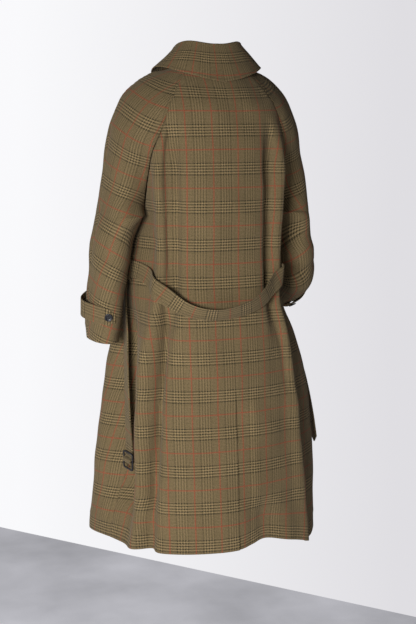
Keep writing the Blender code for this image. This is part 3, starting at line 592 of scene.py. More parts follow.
def belt_end_point(side, u, v, depth, straight):
    """A hanging end: pointed on the right, and on the left turned round the buckle's bar past straight."""
    rows = BELT_ENDS[side]
    across = u - 0.5
    top = rows["drop"][0] + REST_GAP + BELT_WIDTH * (0.5 - across)
    tip = rows["drop"][-1] - (2 * np.abs(across) * BELT_TIP_POINT if side == RIGHT else 0.0)
    drop = top + (tip - top) * np.minimum(v / straight, 1.0)
    middle, normal, width = end_frame(rows, side, drop)
    point = middle + (across * BELT_WIDTH)[..., None] * width
    turn = np.radians(BAR_LOOP_TURN) * np.maximum((v - straight) / (1 - straight + 1e-9), 0.0)
    radius = BAR_LOOP_RADIUS + BELT_THICKNESS * depth
    out = BELT_THICKNESS + BAR_LOOP_RADIUS - radius * np.cos(turn)
    fall = (radius * np.sin(turn))[..., None] * np.array([0.0, 0.0, 1.0])
    return point + normal * out[..., None] - fall


def tab_point(side, share, across, out):
    """A place on a cuff tab, a distance out from the sleeve under it."""
    narrow = 1 - TAB_POINT * smooth((share - TAB_POINT_START) / (1 - TAB_POINT_START))
    down_share = np.interp(share, (0, 1), TAB_ALONG) + across * narrow * TAB_WIDTH / TUBE_LENGTH
    down = UNDERARM_SHARE + (1 - UNDERARM_SHARE) * down_share
    round_share = np.interp(share, (0, 1), TAB_ROUND)
    bulge = TAB_BULGE[side] * bell((share - TAB_BULGE_MIDDLE) / TAB_BULGE_WIDTH)
    point = sleeve_point(side, round_share, down)
    return point + sleeve_normal(side, round_share, down) * (out + bulge)[..., None]


# Cloth pieces


def spaced(count, ends=0.3):
    """Shares from 0 to 1, closer together near both ends."""
    t = np.linspace(0.0, 1.0, count + 1)
    return t - (1 - ends) * np.sin(2 * np.pi * t) / (2 * np.pi)


def lengths(points, axis):
    """Distance along the rows (axis 1) or columns (axis 0) of a grid of points."""
    steps = np.linalg.norm(np.diff(points, axis=axis), axis=-1)
    return np.insert(np.cumsum(steps, axis=axis), 0, 0.0, axis=axis)


def grid_normals(points, way):
    across, down = np.gradient(points, axis=1), np.gradient(points, axis=0)
    return unit(np.cross(across, down)) * way


def moved(points, way, distance):
    """A grid of points, moved out along its normals."""
    return points + grid_normals(points, way) * distance[..., None]


def unevenness(points):
    """Slow unevenness of the cloth, which is the same wherever two pieces meet."""
    total = np.zeros(points.shape[:-1])
    for across, fore, up, length, height, phase in zip(*WAVES.values()):
        way = unit(np.array([across, fore, up])) * 2 * np.pi / length
        total = total + height * np.sin(points @ way + phase)
    return total


def edge_distances(points):
    """How far each place of a grid is from its left, right, upper and lower edge."""
    across, down = lengths(points, 1), lengths(points, 0)
    return across, across[:, -1:] - across, down, down[-1:] - down


def seam_relief(distance, run):
    """The dip of cloth into a seam, with the small puckers beside it."""
    waves = zip(*PUCKERS.values())
    pucker = sum(height * np.sin(run * 2 * np.pi / length + phase) for length, height, phase in waves)
    return pucker * bell(distance / PUCKER_WIDTH) - SEAM_DIP * bell(distance / SEAM_DIP_WIDTH)


def add_piece(name, shape, material):
    """An object from a bmesh, with its place in its mesh."""
    mesh = bpy.data.meshes.new(name)
    shape.to_mesh(mesh)
    shape.free()
    mesh.materials.append(material)
    made = bpy.data.objects.new(name, mesh)
    bpy.context.scene.collection.objects.link(made)
    return made


def plate(columns, rows):
    """A flat grid of faces, 1 by 1."""
    slab = bmesh.new()
    middle = Matrix.Translation((0.5, 0.5, 0.0))
    bmesh.ops.create_grid(slab, x_segments=columns, y_segments=rows, size=0.5, matrix=middle)
    return slab


def thicken(slab, thickness):
    """Gives a flat sheet of faces its second side."""
    flat = slab.verts[:] + slab.edges[:] + slab.faces[:]
    layer = bmesh.ops.extrude_face_region(slab, geom=flat, use_keep_orig=True)
    for part in layer["geom"]:
        if isinstance(part, bmesh.types.BMVert):
            part.co.z = thickness
    bmesh.ops.recalc_face_normals(slab, faces=slab.faces[:])


def turn_outward(mesh):
    """Turns a closed mesh's faces outwards."""
    shape = bmesh.new()
    shape.from_mesh(mesh)
    if shape.calc_volume(signed=True) < 0:
        bmesh.ops.reverse_faces(shape, faces=shape.faces[:])
        shape.to_mesh(mesh)
    shape.free()


def lay_cloth(node, grids, stitched=()):
    """A closed wall of cloth between an outer and an inner grid of points, in the place of its solid.

    The third grid holds the place across and along the weave. stitched names the edges with stitches.
    """
    outer, inner, threads = grids
    rows, columns = outer.shape[0] - 1, outer.shape[1] - 1
    wall = plate(columns, rows)
    thicken(wall, 1.0)
    made = add_piece(node + "_cloth", wall, finish("checked_tweed"))
    mesh = made.data
    place = np.empty(len(mesh.vertices) * 3)
    mesh.vertices.foreach_get("co", place)
    place = place.reshape(-1, 3)
    column, row = np.rint(place[:, 0] * columns).astype(int), np.rint(place[:, 1] * rows).astype(int)
    points = np.where(place[:, 2:] > 0.5, inner[row, column], outer[row, column])
    mesh.vertices.foreach_set("co", points.ravel())
    corner = np.empty(len(mesh.loops), int)
    mesh.loops.foreach_get("vertex_index", corner)
    edges = dict(zip(("left", "right", "upper", "lower"), edge_distances(outer)))
    for name in set(edges).difference(stitched):
        edges[name] = np.full_like(edges[name], UNSTITCHED)
    sides, ends = joined(edges["left"], edges["right"]), joined(edges["upper"], edges["lower"])
    for layer_name, values in (("threads", threads), ("sides", sides), ("ends", ends)):
        placed = mesh.uv_layers.new(name=layer_name)
        placed.data.foreach_set("uv", values[row, column][corner].astype(np.float32).ravel())
    mesh.update()
    turn_outward(mesh)
    mesh.shade_smooth()
    edge = made.modifiers.new("rounded edge", "BEVEL")
    edge.limit_method = "ANGLE"
    edge.angle_limit = math.radians(EDGE_ANGLE)
    edge.width = EDGE_ROUND
    edge.segments = 2
    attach(made, "coat")
    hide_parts(node)
    return made


def sew_on(node, grids, stitched):
    """Lays a cloth piece."""
    piece = lay_cloth(node, grids, stitched)
    points, _, threads = grids


def body_grid(side, face, columns=104, rows=230):
    """A back or front panel, from its centre edge to the raglan and side seams."""
    levels = spaced(rows, 0.6)
    u, v = np.meshgrid(spaced(columns), levels)
    drop = COAT_LENGTH * v
    centre_angle, toward = (0.0, 1) if face == "back" else (180.0, -1)
    way = side * toward
    if face == "back":
        underlap = 0.0 if side == LEFT else VENT_UNDERLAP
        past = -SEAM_JOIN / 2 + underlap * smooth((drop - VENT_TOP_DROP) / VENT_EASE)
        under = 0.0 * drop if side == LEFT else smooth((drop - VENT_TOP_DROP + UNDER_START) / UNDER_EASE)
    else:
        past = np.full_like(drop, FRONT_OVERLAP)
        under = np.full_like(drop, 0.0 if side == LEFT else 1.0)
    outer = raglan_angle(face, drop)

    def degrees(length, angle):
        return np.degrees(length / np.linalg.norm(body_point(angle, drop)[..., :2], axis=-1))

    first = side * (centre_angle - toward * degrees(past, centre_angle))
    last = side * (outer - toward * degrees(SEAM_JOIN / 2, side * outer))
    angle = first + (last - first) * u
    points = body_point(angle, drop)
    radius = np.linalg.norm(points[..., :2], axis=-1)
    from_centre = radius * np.radians(angle * side - centre_angle) * toward
    sunk = under * (CLOTH + LAYER_GAP) * (1 - smooth((from_centre - FRONT_OVERLAP) / LAYER_EASE))
    points = moved(points, way, -sunk)
    left, right, upper, lower = edge_distances(points)
    run = lengths(points, 0)
    sewn = smooth((VENT_TOP_DROP - drop) / SEWN_EASE) if face == "back" else 0.0 * drop
    relief = seam_relief(right, run) + sewn * CENTRE_SEAM_SHARE * seam_relief(left, run)
    clear = smooth(np.minimum(right, upper) / PANEL_CLEAR)
    clear = clear * (1 - (1 - sewn) * (1 - smooth(left / OPEN_EDGE_CLEAR)))
    signed = (angle + 180) % 360 - 180
    for at, low, wide, tall, height, slant in zip(*BODY_CREASES.values()):
        aside = signed - at
        relief = relief + clear * height * bell((drop - low - slant * aside) / tall) * bell(aside / wide)
    for first_angle, last_angle, top, low, wide, depth in zip(*FOLD_LINES.values()):
        share = np.clip((drop - top) / (low - top), 0, 1)
        aside = signed - first_angle - (last_angle - first_angle) * share
        ends = smooth((drop - top) / FOLD_LINE_START) * smooth((low - drop) / FOLD_LINE_END)
        relief = relief - clear * depth * ends * bell(aside / wide)
    near_loop = bell((np.abs(signed) - 90) / NEAR_LOOP_ANGLE)
    near_loop = near_loop * bell((drop - NEAR_LOOP_DROP) / NEAR_LOOP_HEIGHT)
    relief = relief + unevenness(points) * clear * (1 - near_loop)
    relief = relief + HEM_RIDGE * bell((lower - HEM_TURN_UP) / HEM_RIDGE_WIDTH) * clear
    points = moved(points, way, relief)
    inner = moved(points, way, -CLOTH * (1 + TURN_UP_EXTRA * (lower < HEM_TURN_UP)))
    middle = body_point(np.full((rows + 1, 1), centre_angle), COAT_LENGTH * levels[:, None])
    threads = joined((lengths(points, 1) - past) * side, np.broadcast_to(lengths(middle, 0), u.shape))
    return points, inner, threads


def sleeve_grid(side, face, columns=52, rows=190):
    """The back or front half of a raglan sleeve, from the lower seam to the upper one."""
    u, down = np.meshgrid(spaced(columns, 0.35), spaced(rows, 0.6))
    edge, toward = (0.0, 1) if face == "back" else (1.0, -1)
    way = side * toward
    girth = lengths(sleeve_point(side, edge + toward * 0.5 * u, down), 1)[:, -1:]
    inset = 0.5 * SEAM_JOIN / 2 / np.maximum(girth, 0.02)
    round_share = edge + toward * (0.5 * u + inset * (1 - 2 * u))
    points = sleeve_point(side, round_share, down)
    left, right, upper, lower = edge_distances(points)
    run = lengths(points, 0)
    relief = seam_relief(left, run) + seam_relief(right, run)
    clear = smooth(np.minimum(np.minimum(left, right), upper) / SLEEVE_CLEAR)
    relief = relief + crease_height(FINE_CREASES[side], down, round_share) * clear
    relief = relief + unevenness(points) * clear * SLEEVE_UNEVENNESS
    relief = relief + CUFF_RIDGE * bell((lower - CUFF_TURN_UP) / CUFF_RIDGE_WIDTH) * clear
    points = moved(points, way, relief)
    inner = moved(points, way, -CLOTH * (1 + TURN_UP_EXTRA * (lower < CUFF_TURN_UP)))
    seam_line = lengths(points, 0)[:, -1]
    from_seam = lengths(points, 1)[:, -1:] - lengths(points, 1)
    lean = np.radians(along(SLEEVE_LEAN, "length", "lean", seam_line))
    half = (lean[1:] + lean[:-1]) / 2
    steps = np.diff(seam_line)
    down_weave = np.insert(np.cumsum(steps * np.cos(half)), 0, 0.0)[:, None]
    over_weave = np.insert(np.cumsum(steps * np.sin(half)), 0, 0.0)[:, None]
    across = from_seam * np.cos(lean)[:, None] + over_weave
    return points, inner, joined(across * toward, down_weave - from_seam * np.sin(lean)[:, None])


def collar_grid(columns=150, rows=44):
    """The turned-down collar, from the left front round the neck to the right front."""
    u, v = np.meshgrid(np.linspace(0, 1, columns + 1), spaced(rows, 0.5))
    inner = collar_point((180.0 - COLLAR_FRONT_GAP) * (1 - 2 * u), v)
    inner = moved(inner, 1, unevenness(inner) * COLLAR_UNEVENNESS * smooth((v - COLLAR_FALL) / 0.2))
    outer = moved(inner, 1, np.full_like(u, CLOTH))
    around = lengths(outer, 1)[-1]
    across = np.broadcast_to(around - around[-1] / 2, u.shape)
    return outer, inner, joined(across, lengths(outer, 0))


def strip_threads(points, lengthwise, start=0.0):
    """Weave places of a narrow strip that is cut lengthwise, measured along its middle line."""
    length, width = lengths(points, lengthwise), lengths(points, 1 - lengthwise)
    half = np.take(width, [-1], axis=1 - lengthwise) / 2
    middle_line = np.take(length, [length.shape[1 - lengthwise] // 2], axis=1 - lengthwise)
    return joined(width - half + STRIP_ASIDE, np.broadcast_to(middle_line + start, width.shape))


# Finishes


class Nodes:
    """Adds nodes to a tree and joins them, with plain values set on their sockets."""

    def __init__(self, tree):
        self.tree = tree

    def add(self, kind, inputs=(), **settings):
        node = self.tree.nodes.new(kind)
        for name, value in settings.items():
            setattr(node, name, value)
        self.fill(node.inputs, dict(inputs))
        return node

    def fill(self, sockets, values):
        for key, value in values.items():
            if isinstance(value, bpy.types.NodeSocket):
                self.tree.links.new(value, sockets[key])
            else:
                sockets[key].default_value = value

    def math(self, operation, *values):
        return self.add("ShaderNodeMath", dict(enumerate(values)), operation=operation).outputs[0]

    def times(self, first, second):
        return self.math("MULTIPLY", first, second)

    def plus(self, first, second):
        return self.math("ADD", first, second)

    def minus(self, first, second):
        return self.math("SUBTRACT", first, second)

    def times_plus(self, first, second, third):
        return self.math("MULTIPLY_ADD", first, second, third)

    def remainder(self, first, second):
        return self.math("FLOORED_MODULO", first, second)

    def less(self, first, second):
        return self.math("LESS_THAN", first, second)

    def choose(self, share, first, second):
        return self.add("ShaderNodeMix", {0: share, 2: first, 3: second}).outputs[0]

    def mix(self, share, first, second):
        return self.add("ShaderNodeMix", {0: share, 6: first, 7: second}, data_type="RGBA").outputs[2]

    def ramp(self, value, low, high, start=0.0, end=1.0):
        """A value, from one range to another."""
        return self.add("ShaderNodeMapRange", {0: value, 1: low, 2: high, 3: start, 4: end}).outputs[0]

    def noise(self, place, scale, detail=2.0):
        wanted = {"Vector": place, "Scale": scale, "Detail": detail}
        return self.add("ShaderNodeTexNoise", wanted).outputs["Fac"]

    def xyz(self, place):
        return self.add("ShaderNodeSeparateXYZ", {0: place}).outputs

    def group(self, tree, inputs):
        return self.add("ShaderNodeGroup", inputs, node_tree=tree).outputs

    def bump(self, strength, distance, height):
        wanted = {"Strength": strength, "Distance": distance, "Height": height}
        return self.add("ShaderNodeBump", wanted).outputs[0]


def rgba(colour, share=1.0):
    return (*[part * share for part in colour], 1.0)


def node_group(name, inputs, outputs):
    """A new shader node group with named sockets, each a float, a colour or a vector."""
    tree = bpy.data.node_groups.new(name, "ShaderNodeTree")
    for way, sockets in (("INPUT", inputs), ("OUTPUT", outputs)):
        for kind, labels in sockets.items():
            for label in labels:
                tree.interface.new_socket(label, in_out=way, socket_type="NodeSocket" + kind)
    nodes = Nodes(tree)
    return tree, nodes, nodes.add("NodeGroupInput").outputs, nodes.add("NodeGroupOutput").inputs


def thread_order_group():
    """The colours of the threads one way: a band of four and four, then two and two with a red pair."""
    wanted = {"Float": ("Place", "Thread", "Repeat", "Band")}
    given = {"Float": ("Light", "Red", "In band", "Count")}
    tree, nodes, source, result = node_group("thread order", wanted, given)
    count = nodes.math("DIVIDE", source["Place"], source["Thread"])
    half_band = nodes.times(source["Band"], 0.5)
    number = nodes.remainder(nodes.plus(count, half_band), source["Repeat"])
    in_band = nodes.less(number, source["Band"])
    broad = nodes.math("GREATER_THAN", nodes.remainder(number, 8.0), 4.0)
    fine = nodes.math("GREATER_THAN", nodes.remainder(number, 4.0), 2.0)
    light = nodes.plus(nodes.times(in_band, broad), nodes.times(nodes.minus(1.0, in_band), fine))
    middle = nodes.times(nodes.plus(source["Repeat"], source["Band"]), 0.5)
    red = nodes.less(nodes.math("ABSOLUTE", nodes.minus(number, middle)), RED_THREADS)
    nodes.fill(result, {"Light": light, "Red": red, "In band": in_band, "Count": count})
    return tree


def nap_group():
    """The raised hairs of woollen cloth: specks, slow change of tone, and a fuzzy height."""
    wanted = {"Vector": ("Place",), "Float": ("Fineness",)}
    given = {"Float": ("Speck", "Tone", "Heather", "Height")}
    tree, nodes, source, result = node_group("wool nap", wanted, given)
    place, fineness = source["Place"], source["Fineness"]
    fine = nodes.noise(place, fineness, 3.0)
    coarse = nodes.noise(place, nodes.times(fineness, 0.22))
    heather = nodes.noise(place, nodes.times(fineness, 0.3), 3.0)
    speck = nodes.plus(nodes.times(fine, 0.6), nodes.times(coarse, 0.4))
    tone = nodes.noise(place, 9.0)
    nodes.fill(result, {"Speck": speck, "Tone": tone, "Heather": heather, "Height": fine})
    return tree


def stitch_group():
    """Rows of stitches beside the edges of a piece, as masks of the thread and of the dent it makes."""
    wanted = {"Vector": ("Sides", "Ends", "Threads"), "Float": ("Margin", "Length")}
    tree, nodes, source, result = node_group("edge stitches", wanted, {"Float": ("Stitch", "Dent")})
    sides, ends, threads = (nodes.xyz(source[label]) for label in ("Sides", "Ends", "Threads"))
    stitch, dent = 0.0, 0.0
    rows = ((sides[0], threads[1]), (sides[1], threads[1]), (ends[0], threads[0]), (ends[1], threads[0]))
    for distance, run in rows:
        aside = nodes.math("ABSOLUTE", nodes.minus(distance, source["Margin"]))
        line = nodes.less(aside, STITCH_HALF_WIDTH)
        share = nodes.math("FRACT", nodes.math("DIVIDE", run, source["Length"]))
        stitch = nodes.math("MAXIMUM", stitch, nodes.times(line, nodes.less(share, STITCH_SHARE)))
        dent = nodes.math("MAXIMUM", dent, nodes.ramp(aside, 0.0, STITCH_DENT_WIDTH, 1.0, 0.0))
    nodes.fill(result, {"Stitch": stitch, "Dent": dent})
    return tree


def tweed_group(thread_order, nap):
    """A glen check in a two-and-two twill with a red overcheck."""
    floats = ("Thread", "Across repeat", "Along repeat")
    wanted = {"Vector": ("Threads",), "Float": floats, "Color": ("Light", "Dark", "Red")}
    given = {"Color": ("Colour",), "Float": ("Height", "Roughness")}
    tree, nodes, source, result = node_group("checked tweed", wanted, given)
    hairs = nodes.group(nap, {"Place": source["Threads"], "Fineness": NAP_FINENESS})
    place = nodes.xyz(source["Threads"])
    stray = nodes.times(nodes.minus(hairs["Height"], 0.5), STRAY)
    ways = []
    for axis, repeat in enumerate(("Across repeat", "Along repeat")):
        order = {"Place": nodes.plus(place[axis], stray), "Repeat": source[repeat]}
        ways.append(nodes.group(thread_order, {**order, "Thread": source["Thread"], "Band": BAND_THREADS}))
    warp, weft = ways
    rib = nodes.remainder(nodes.minus(warp["Count"], weft["Count"]), 4.0)
    warp_over = nodes.minus(2.0, nodes.times(weft["In band"], WEFT_BAND_COVER))
    warp_over = nodes.plus(warp_over, nodes.times(warp["In band"], WARP_BAND_COVER))
    over = nodes.less(rib, warp_over)
    crossing = nodes.times(warp["In band"], weft["In band"])
    shown = {}
    for name, way in (("warp", warp), ("weft", weft)):
        contrast = nodes.times_plus(way["In band"], BAND_CONTRAST[name], CONTRAST)
        contrast = nodes.times_plus(crossing, CROSSING_CONTRAST[name], contrast)
        shown[name] = nodes.times_plus(nodes.minus(way["Light"], 0.5), contrast, 0.5)
    light = nodes.choose(over, shown["weft"], shown["warp"])
    red = nodes.choose(over, weft["Red"], warp["Red"])
    under = nodes.times(nodes.math("MAXIMUM", weft["Red"], warp["Red"]), RED_UNDER)
    colour = nodes.mix(light, source["Dark"], source["Light"])
    colour = nodes.mix(nodes.times_plus(red, RED_SHOWN, under), colour, source["Red"])
    speck = nodes.ramp(hairs["Speck"], 0.25, 0.75, 0.66, 1.34)
    shade = nodes.times(speck, nodes.ramp(hairs["Tone"], 0.3, 0.7, 0.94, 1.06))
    tint = nodes.add("ShaderNodeVectorMath", {0: colour, "Scale": shade}, operation="SCALE").outputs[0]
    fleck = nodes.mix(nodes.ramp(hairs["Heather"], 0.3, 0.7), rgba(GREENER), rgba(REDDER))
    heathered = nodes.add("ShaderNodeVectorMath", {0: tint, 1: fleck}, operation="MULTIPLY").outputs[0]
    ridge = nodes.math("ABSOLUTE", nodes.math("SINE", nodes.times(rib, math.pi / 2)))
    height = nodes.plus(nodes.times(ridge, 0.6), nodes.times(hairs["Height"], 0.8))
    rough = nodes.ramp(hairs["Speck"], 0.2, 0.8, 0.98, 0.84)
    nodes.fill(result, {"Colour": heathered, "Height": height, "Roughness": rough})
    return tree


def new_material(name):
    made = bpy.data.materials.new(name)
    made.use_nodes = True
    return made, Nodes(made.node_tree), made.node_tree.nodes["Principled BSDF"].inputs


def tweed_material(settings):
    """The coat's cloth, with stitches beside the edges that have them."""
    made, nodes, shader = new_material("checked_tweed")
    threads, sides, ends = (
        nodes.add("ShaderNodeUVMap", uv_map=label).outputs[0] for label in ("threads", "sides", "ends")
    )
    start = (-settings.aside, -settings.band_start, 0.0)
    wanted = {
        "Threads": nodes.add("ShaderNodeMapping", {"Vector": threads, "Location": start}).outputs[0],
        "Thread": settings.thread,
        "Across repeat": round(settings.across_repeat / settings.thread / 4) * 4.0,
        "Along repeat": round(settings.along_repeat / settings.thread / 4) * 4.0,
        "Light": rgba(settings.light),
        "Dark": rgba(settings.dark),
        "Red": rgba(settings.red),
    }
    cloth = nodes.group(tweed_group(thread_order_group(), nap_group()), wanted)
    edges = {"Sides": sides, "Ends": ends, "Threads": threads}
    sewn = nodes.group(stitch_group(), {**edges, "Margin": STITCH_MARGIN, "Length": STITCH_LENGTH})
    height = nodes.times_plus(sewn["Dent"], -1.6, cloth["Height"])
    height = nodes.times_plus(sewn["Stitch"], 0.8, height)
    looks = {
        "Base Color": nodes.mix(sewn["Stitch"], cloth["Colour"], rgba(settings.sewing)),
        "Roughness": cloth["Roughness"],
        "Normal": nodes.bump(0.45, 0.0005, height),
        "Specular IOR Level": 0.25,
        "Sheen Weight": 0.12,
        "Sheen Roughness": 0.55,
        "Sheen Tint": (0.9, 0.78, 0.6, 1.0),
    }
    nodes.fill(shader, looks)
    return made


def horn_material(settings):
    """Dark polished horn, with faint streaks and small scuffs."""
    made, nodes, shader = new_material("dark_horn")
    place = nodes.add("ShaderNodeTexCoord").outputs["Object"]
    stretched = nodes.add("ShaderNodeMapping", {"Vector": place, "Scale": (90.0, 260.0, 420.0)}).outputs[0]
    streak = nodes.ramp(nodes.noise(stretched, 1.0, 3.0), 0.45, 0.75)
    scuff = nodes.noise(place, 700.0, 3.0)
    looks = {
        "Base Color": nodes.mix(streak, rgba(settings.horn), rgba(settings.horn_streak)),
        "Roughness": nodes.ramp(scuff, 0.3, 0.7, 0.22, 0.42),
        "Normal": nodes.bump(0.12, 0.0002, scuff),
    }
    nodes.fill(shader, looks)
    return made


def thread_material(settings):
    """Twisted sewing thread."""
    made, nodes, shader = new_material("sewing_thread")
    twist = nodes.noise(nodes.add("ShaderNodeTexCoord").outputs["Object"], 2600.0, 1.0)
    looks = {
        "Base Color": nodes.mix(twist, rgba(settings.sewing, 0.6), rgba(settings.sewing, 1.5)),
        "Roughness": 0.7,
        "Normal": nodes.bump(0.4, 0.0002, twist),
    }
    nodes.fill(shader, looks)
    return made


def finish(name):
    """A finish of the coat, made when it is first asked for."""
    ready = bpy.data.materials.get(name)
    if ready is not None and ready.get("coat_finish"):
        return ready
    scene = bpy.context.scene
    if name == "checked_tweed":
        made = tweed_material(scene.coat_tweed)
    elif name == "dark_horn":
        made = horn_material(scene.coat_trims)
    else:
        made = thread_material(scene.coat_trims)
    made["coat_finish"] = True
    return made


# Hard pieces


def facing(point, normal):
    turn = Vector(normal).to_track_quat("Z", "Y").to_matrix().to_4x4()
    return Matrix.Translation(Vector(point)) @ turn


def button_shape(radius):
    """A dished button with a thick rim, turned about Z."""
    thick = BUTTON_THICKNESS * radius
    shape = bmesh.new()
    points = [shape.verts.new((share * radius, 0.0, level * thick)) for share, level in BUTTON_PROFILE]
    lines = [shape.edges.new(pair) for pair in zip(points, points[1:])]
    turn = {"axis": (0, 0, 1), "cent": (0, 0, 0), "steps": 40, "angle": 2 * math.pi}
    bmesh.ops.spin(shape, geom=points + lines, use_merge=True, **turn)
    bmesh.ops.remove_doubles(shape, verts=shape.verts[:], dist=1e-6)
    bmesh.ops.recalc_face_normals(shape, faces=shape.faces[:])
    return shape


def pierce(made, radius, placed):
    """Cuts the four sewing holes of a button."""
    cutter = bmesh.new()
    apart = HOLE_APART * radius
    drill_size = {"radius1": HOLE_RADIUS * radius, "radius2": HOLE_RADIUS * radius, "depth": radius}
    for x in (-apart, apart):
        for y in (-apart, apart):
            hole = placed @ Matrix.Translation((x, y, BUTTON_THICKNESS * radius / 2))
            bmesh.ops.create_cone(cutter, cap_ends=True, segments=14, matrix=hole, **drill_size)
    drill = add_piece("drill", cutter, made.data.materials[0])
    cut = made.modifiers.new("holes", "BOOLEAN")
    cut.object = drill
    cut.solver = "EXACT"
    bpy.context.view_layer.update()
    bored = made.evaluated_get(bpy.context.evaluated_depsgraph_get())
    made.data = bpy.data.meshes.new_from_object(bored)
    made.modifiers.clear()
    bpy.data.objects.remove(drill, do_unlink=True)
    made.data.set_sharp_from_angle(angle=math.radians(40))


def sewing_shape(radius, placed):
    """Two pairs of thread bars through a button's holes."""
    shape = bmesh.new()
    apart, thread = HOLE_APART * radius, THREAD_RADIUS * radius
    base = BUTTON_THICKNESS * BUTTON_DISH * radius - THREAD_SUNK * thread
    for y in (-apart, apart):
        for shift in (-THREAD_APART * thread, THREAD_APART * thread):
            start = Matrix.Translation((-apart, y + shift, base))
            ring = bmesh.ops.create_circle(shape, segments=8, radius=thread, matrix=start)["verts"]
            lines = list(dict.fromkeys(edge for vert in ring for edge in vert.link_edges))
            turn = {"axis": (0, 1, 0), "cent": (0, y + shift, base), "steps": 10, "angle": math.pi}
            bmesh.ops.spin(shape, geom=ring + lines, **turn)
    for vert in shape.verts:
        vert.co.z = base + (vert.co.z - base) * THREAD_RISE
    bmesh.ops.holes_fill(shape, edges=[edge for edge in shape.edges if edge.is_boundary], sides=0)
    bmesh.ops.recalc_face_normals(shape, faces=shape.faces[:])
    bmesh.ops.transform(shape, matrix=placed, verts=shape.verts[:])
    return shape


def sew_button(node, radius, point, normal):
    """A horn button and its thread, in the place of the button's solid."""
    placed = facing(point, normal)
    shape = button_shape(radius)
    bmesh.ops.transform(shape, matrix=placed, verts=shape.verts[:])
    horn = add_piece(node + "_horn", shape, finish("dark_horn"))
    pierce(horn, radius, placed)
    for face in horn.data.polygons:
        face.use_smooth = True
    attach(horn, "coat")
    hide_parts(node)
    thread = add_piece(node + "_thread", sewing_shape(radius, placed), finish("sewing_thread"))
    thread.data.shade_smooth()
    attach(thread, "coat")


def buckle_shape(settings):
    """A flat frame with a bar across its middle and rounded corners."""
    half_width, half_height = settings.buckle_width / 2, settings.buckle_height / 2
    wide, high = half_width - settings.buckle_rim, half_height - settings.buckle_rim
    bar = settings.buckle_bar / 2
    x, y = half_width - BUCKLE_CORNER, half_height - BUCKLE_CORNER
    turns = np.linspace(0.0, math.pi / 2, 9)
    arc = [(x + BUCKLE_CORNER * math.cos(turn), y + BUCKLE_CORNER * math.sin(turn)) for turn in turns]
    quarter = [((wide, bar), (half_width, bar), arc[0], (wide, high))]
    quarter += [((wide, high), *pair) for pair in zip(arc, arc[1:])]
    faces = [((-wide, high), (wide, high), arc[-1], (-arc[-1][0], arc[-1][1]))]
    faces += quarter + [[(-u, v) for u, v in reversed(face)] for face in quarter]
    faces += [[(-u, -v) for u, v in face] for face in faces]
    stops = (-half_width, -wide, wide, half_width)
    faces += [((a, -bar), (b, -bar), (b, bar), (a, bar)) for a, b in zip(stops, stops[1:])]
    shape = bmesh.new()
    places = dict.fromkeys(place for face in faces for place in face)
    corners = {place: shape.verts.new((*place, 0.0)) for place in places}
    for face in faces:
        shape.faces.new([corners[place] for place in face])
    shape.normal_update()
    thicken(shape, settings.buckle_thickness)
    sharp = [edge for edge in shape.edges if edge.is_manifold and edge.calc_face_angle() > math.radians(50)]
    rounding = {"offset": BUCKLE_EDGE, "offset_type": "OFFSET", "segments": 3, "profile": 0.5}
    bmesh.ops.bevel(shape, geom=sharp, affect="EDGES", material=-1, **rounding)
    return shape


# Settings


def a_length(name, description, default, low):
    return FloatProperty(name=name, description=description, default=default, min=low, unit="LENGTH")


def an_angle(name, description, degrees):
    turn = math.radians(degrees)
    return FloatProperty(name=name, description=description, default=turn, subtype="ANGLE", unit="ROTATION")


def a_colour(name, description, default):
    return FloatVectorProperty(
        name=name, description=description, default=default, min=0.0, max=1.0, subtype="COLOR"
    )


class TweedSettings(bpy.types.PropertyGroup):
    """The coat's cloth."""

    thread: a_length("Thread", "Width of one thread", 0.00081, 0.0002)
    across_repeat: a_length("Repeat across", "Width of one check", 0.0616, 0.02)
    along_repeat: a_length("Repeat along", "Length of one check", 0.0875, 0.02)
    band_start: a_length("First band", "Distance of the first band from the back neck", 0.087, -1.0)
    aside: a_length("Band aside", "How far left of the centre back the middle band lies", 0.015, -1.0)
    light: a_colour("Light yarn", "Colour of the light yarn", (0.31, 0.22, 0.115))
    dark: a_colour("Dark yarn", "Colour of the dark yarn", (0.020, 0.018, 0.009))
    red: a_colour("Red yarn", "Colour of the overcheck", (0.32, 0.055, 0.030))
    sewing: a_colour("Sewing thread", "Colour of the stitches", (0.060, 0.046, 0.024))


class TrimSettings(bpy.types.PropertyGroup):
    """Buttons and buckle."""

    front_button: a_length("Front button", "Radius of a front button", 0.0125, 0.005)
    cuff_button: a_length("Cuff button", "Radius of a cuff button", 0.0095, 0.004)
    buckle_width: a_length("Buckle width", "Across the belt", 0.054, 0.03)
    buckle_height: a_length("Buckle height", "Along the belt", 0.044, 0.02)
    buckle_rim: a_length("Buckle rim", "Width of the frame", 0.0045, 0.002)
    buckle_bar: a_length("Buckle bar", "Width of the bar", 0.0038, 0.002)
    buckle_thickness: a_length("Buckle thickness", "Thickness of the frame", 0.0034, 0.001)
    horn: a_colour("Horn", "Colour of the horn", (0.008, 0.008, 0.012))
    horn_streak: a_colour("Horn streak", "Colour of its streaks", (0.030, 0.026, 0.026))
    sewing: a_colour("Button thread", "Colour of the button thread", (0.020, 0.018, 0.016))


class StageSettings(bpy.types.PropertyGroup):
    """Camera, light and floor."""

    azimuth: an_angle("Azimuth", "Camera's turn round the coat", 158)
    elevation: an_angle("Elevation", "Camera's height over the horizon", 9)
    distance: a_length("Distance", "Camera to coat", 3.2, 0.5)
    lens: FloatProperty(name="Lens", description="Focal length", default=75.5, min=10.0, unit="CAMERA")
    floor: a_colour("Floor", "Colour of the floor", (0.66, 0.66, 0.71))
    floor_drop: a_length("Floor drop", "Floor below the neck", 1.50, 1.2)
    key_power: FloatProperty(
        name="Key light", description="Power of the light on the left", default=28.0, min=0.0, unit="POWER"
    )
    sky: FloatProperty(
        name="Room light", description="Strength of the light from all sides", default=0.30, min=0.0,
        subtype="FACTOR",
    )


# Operators


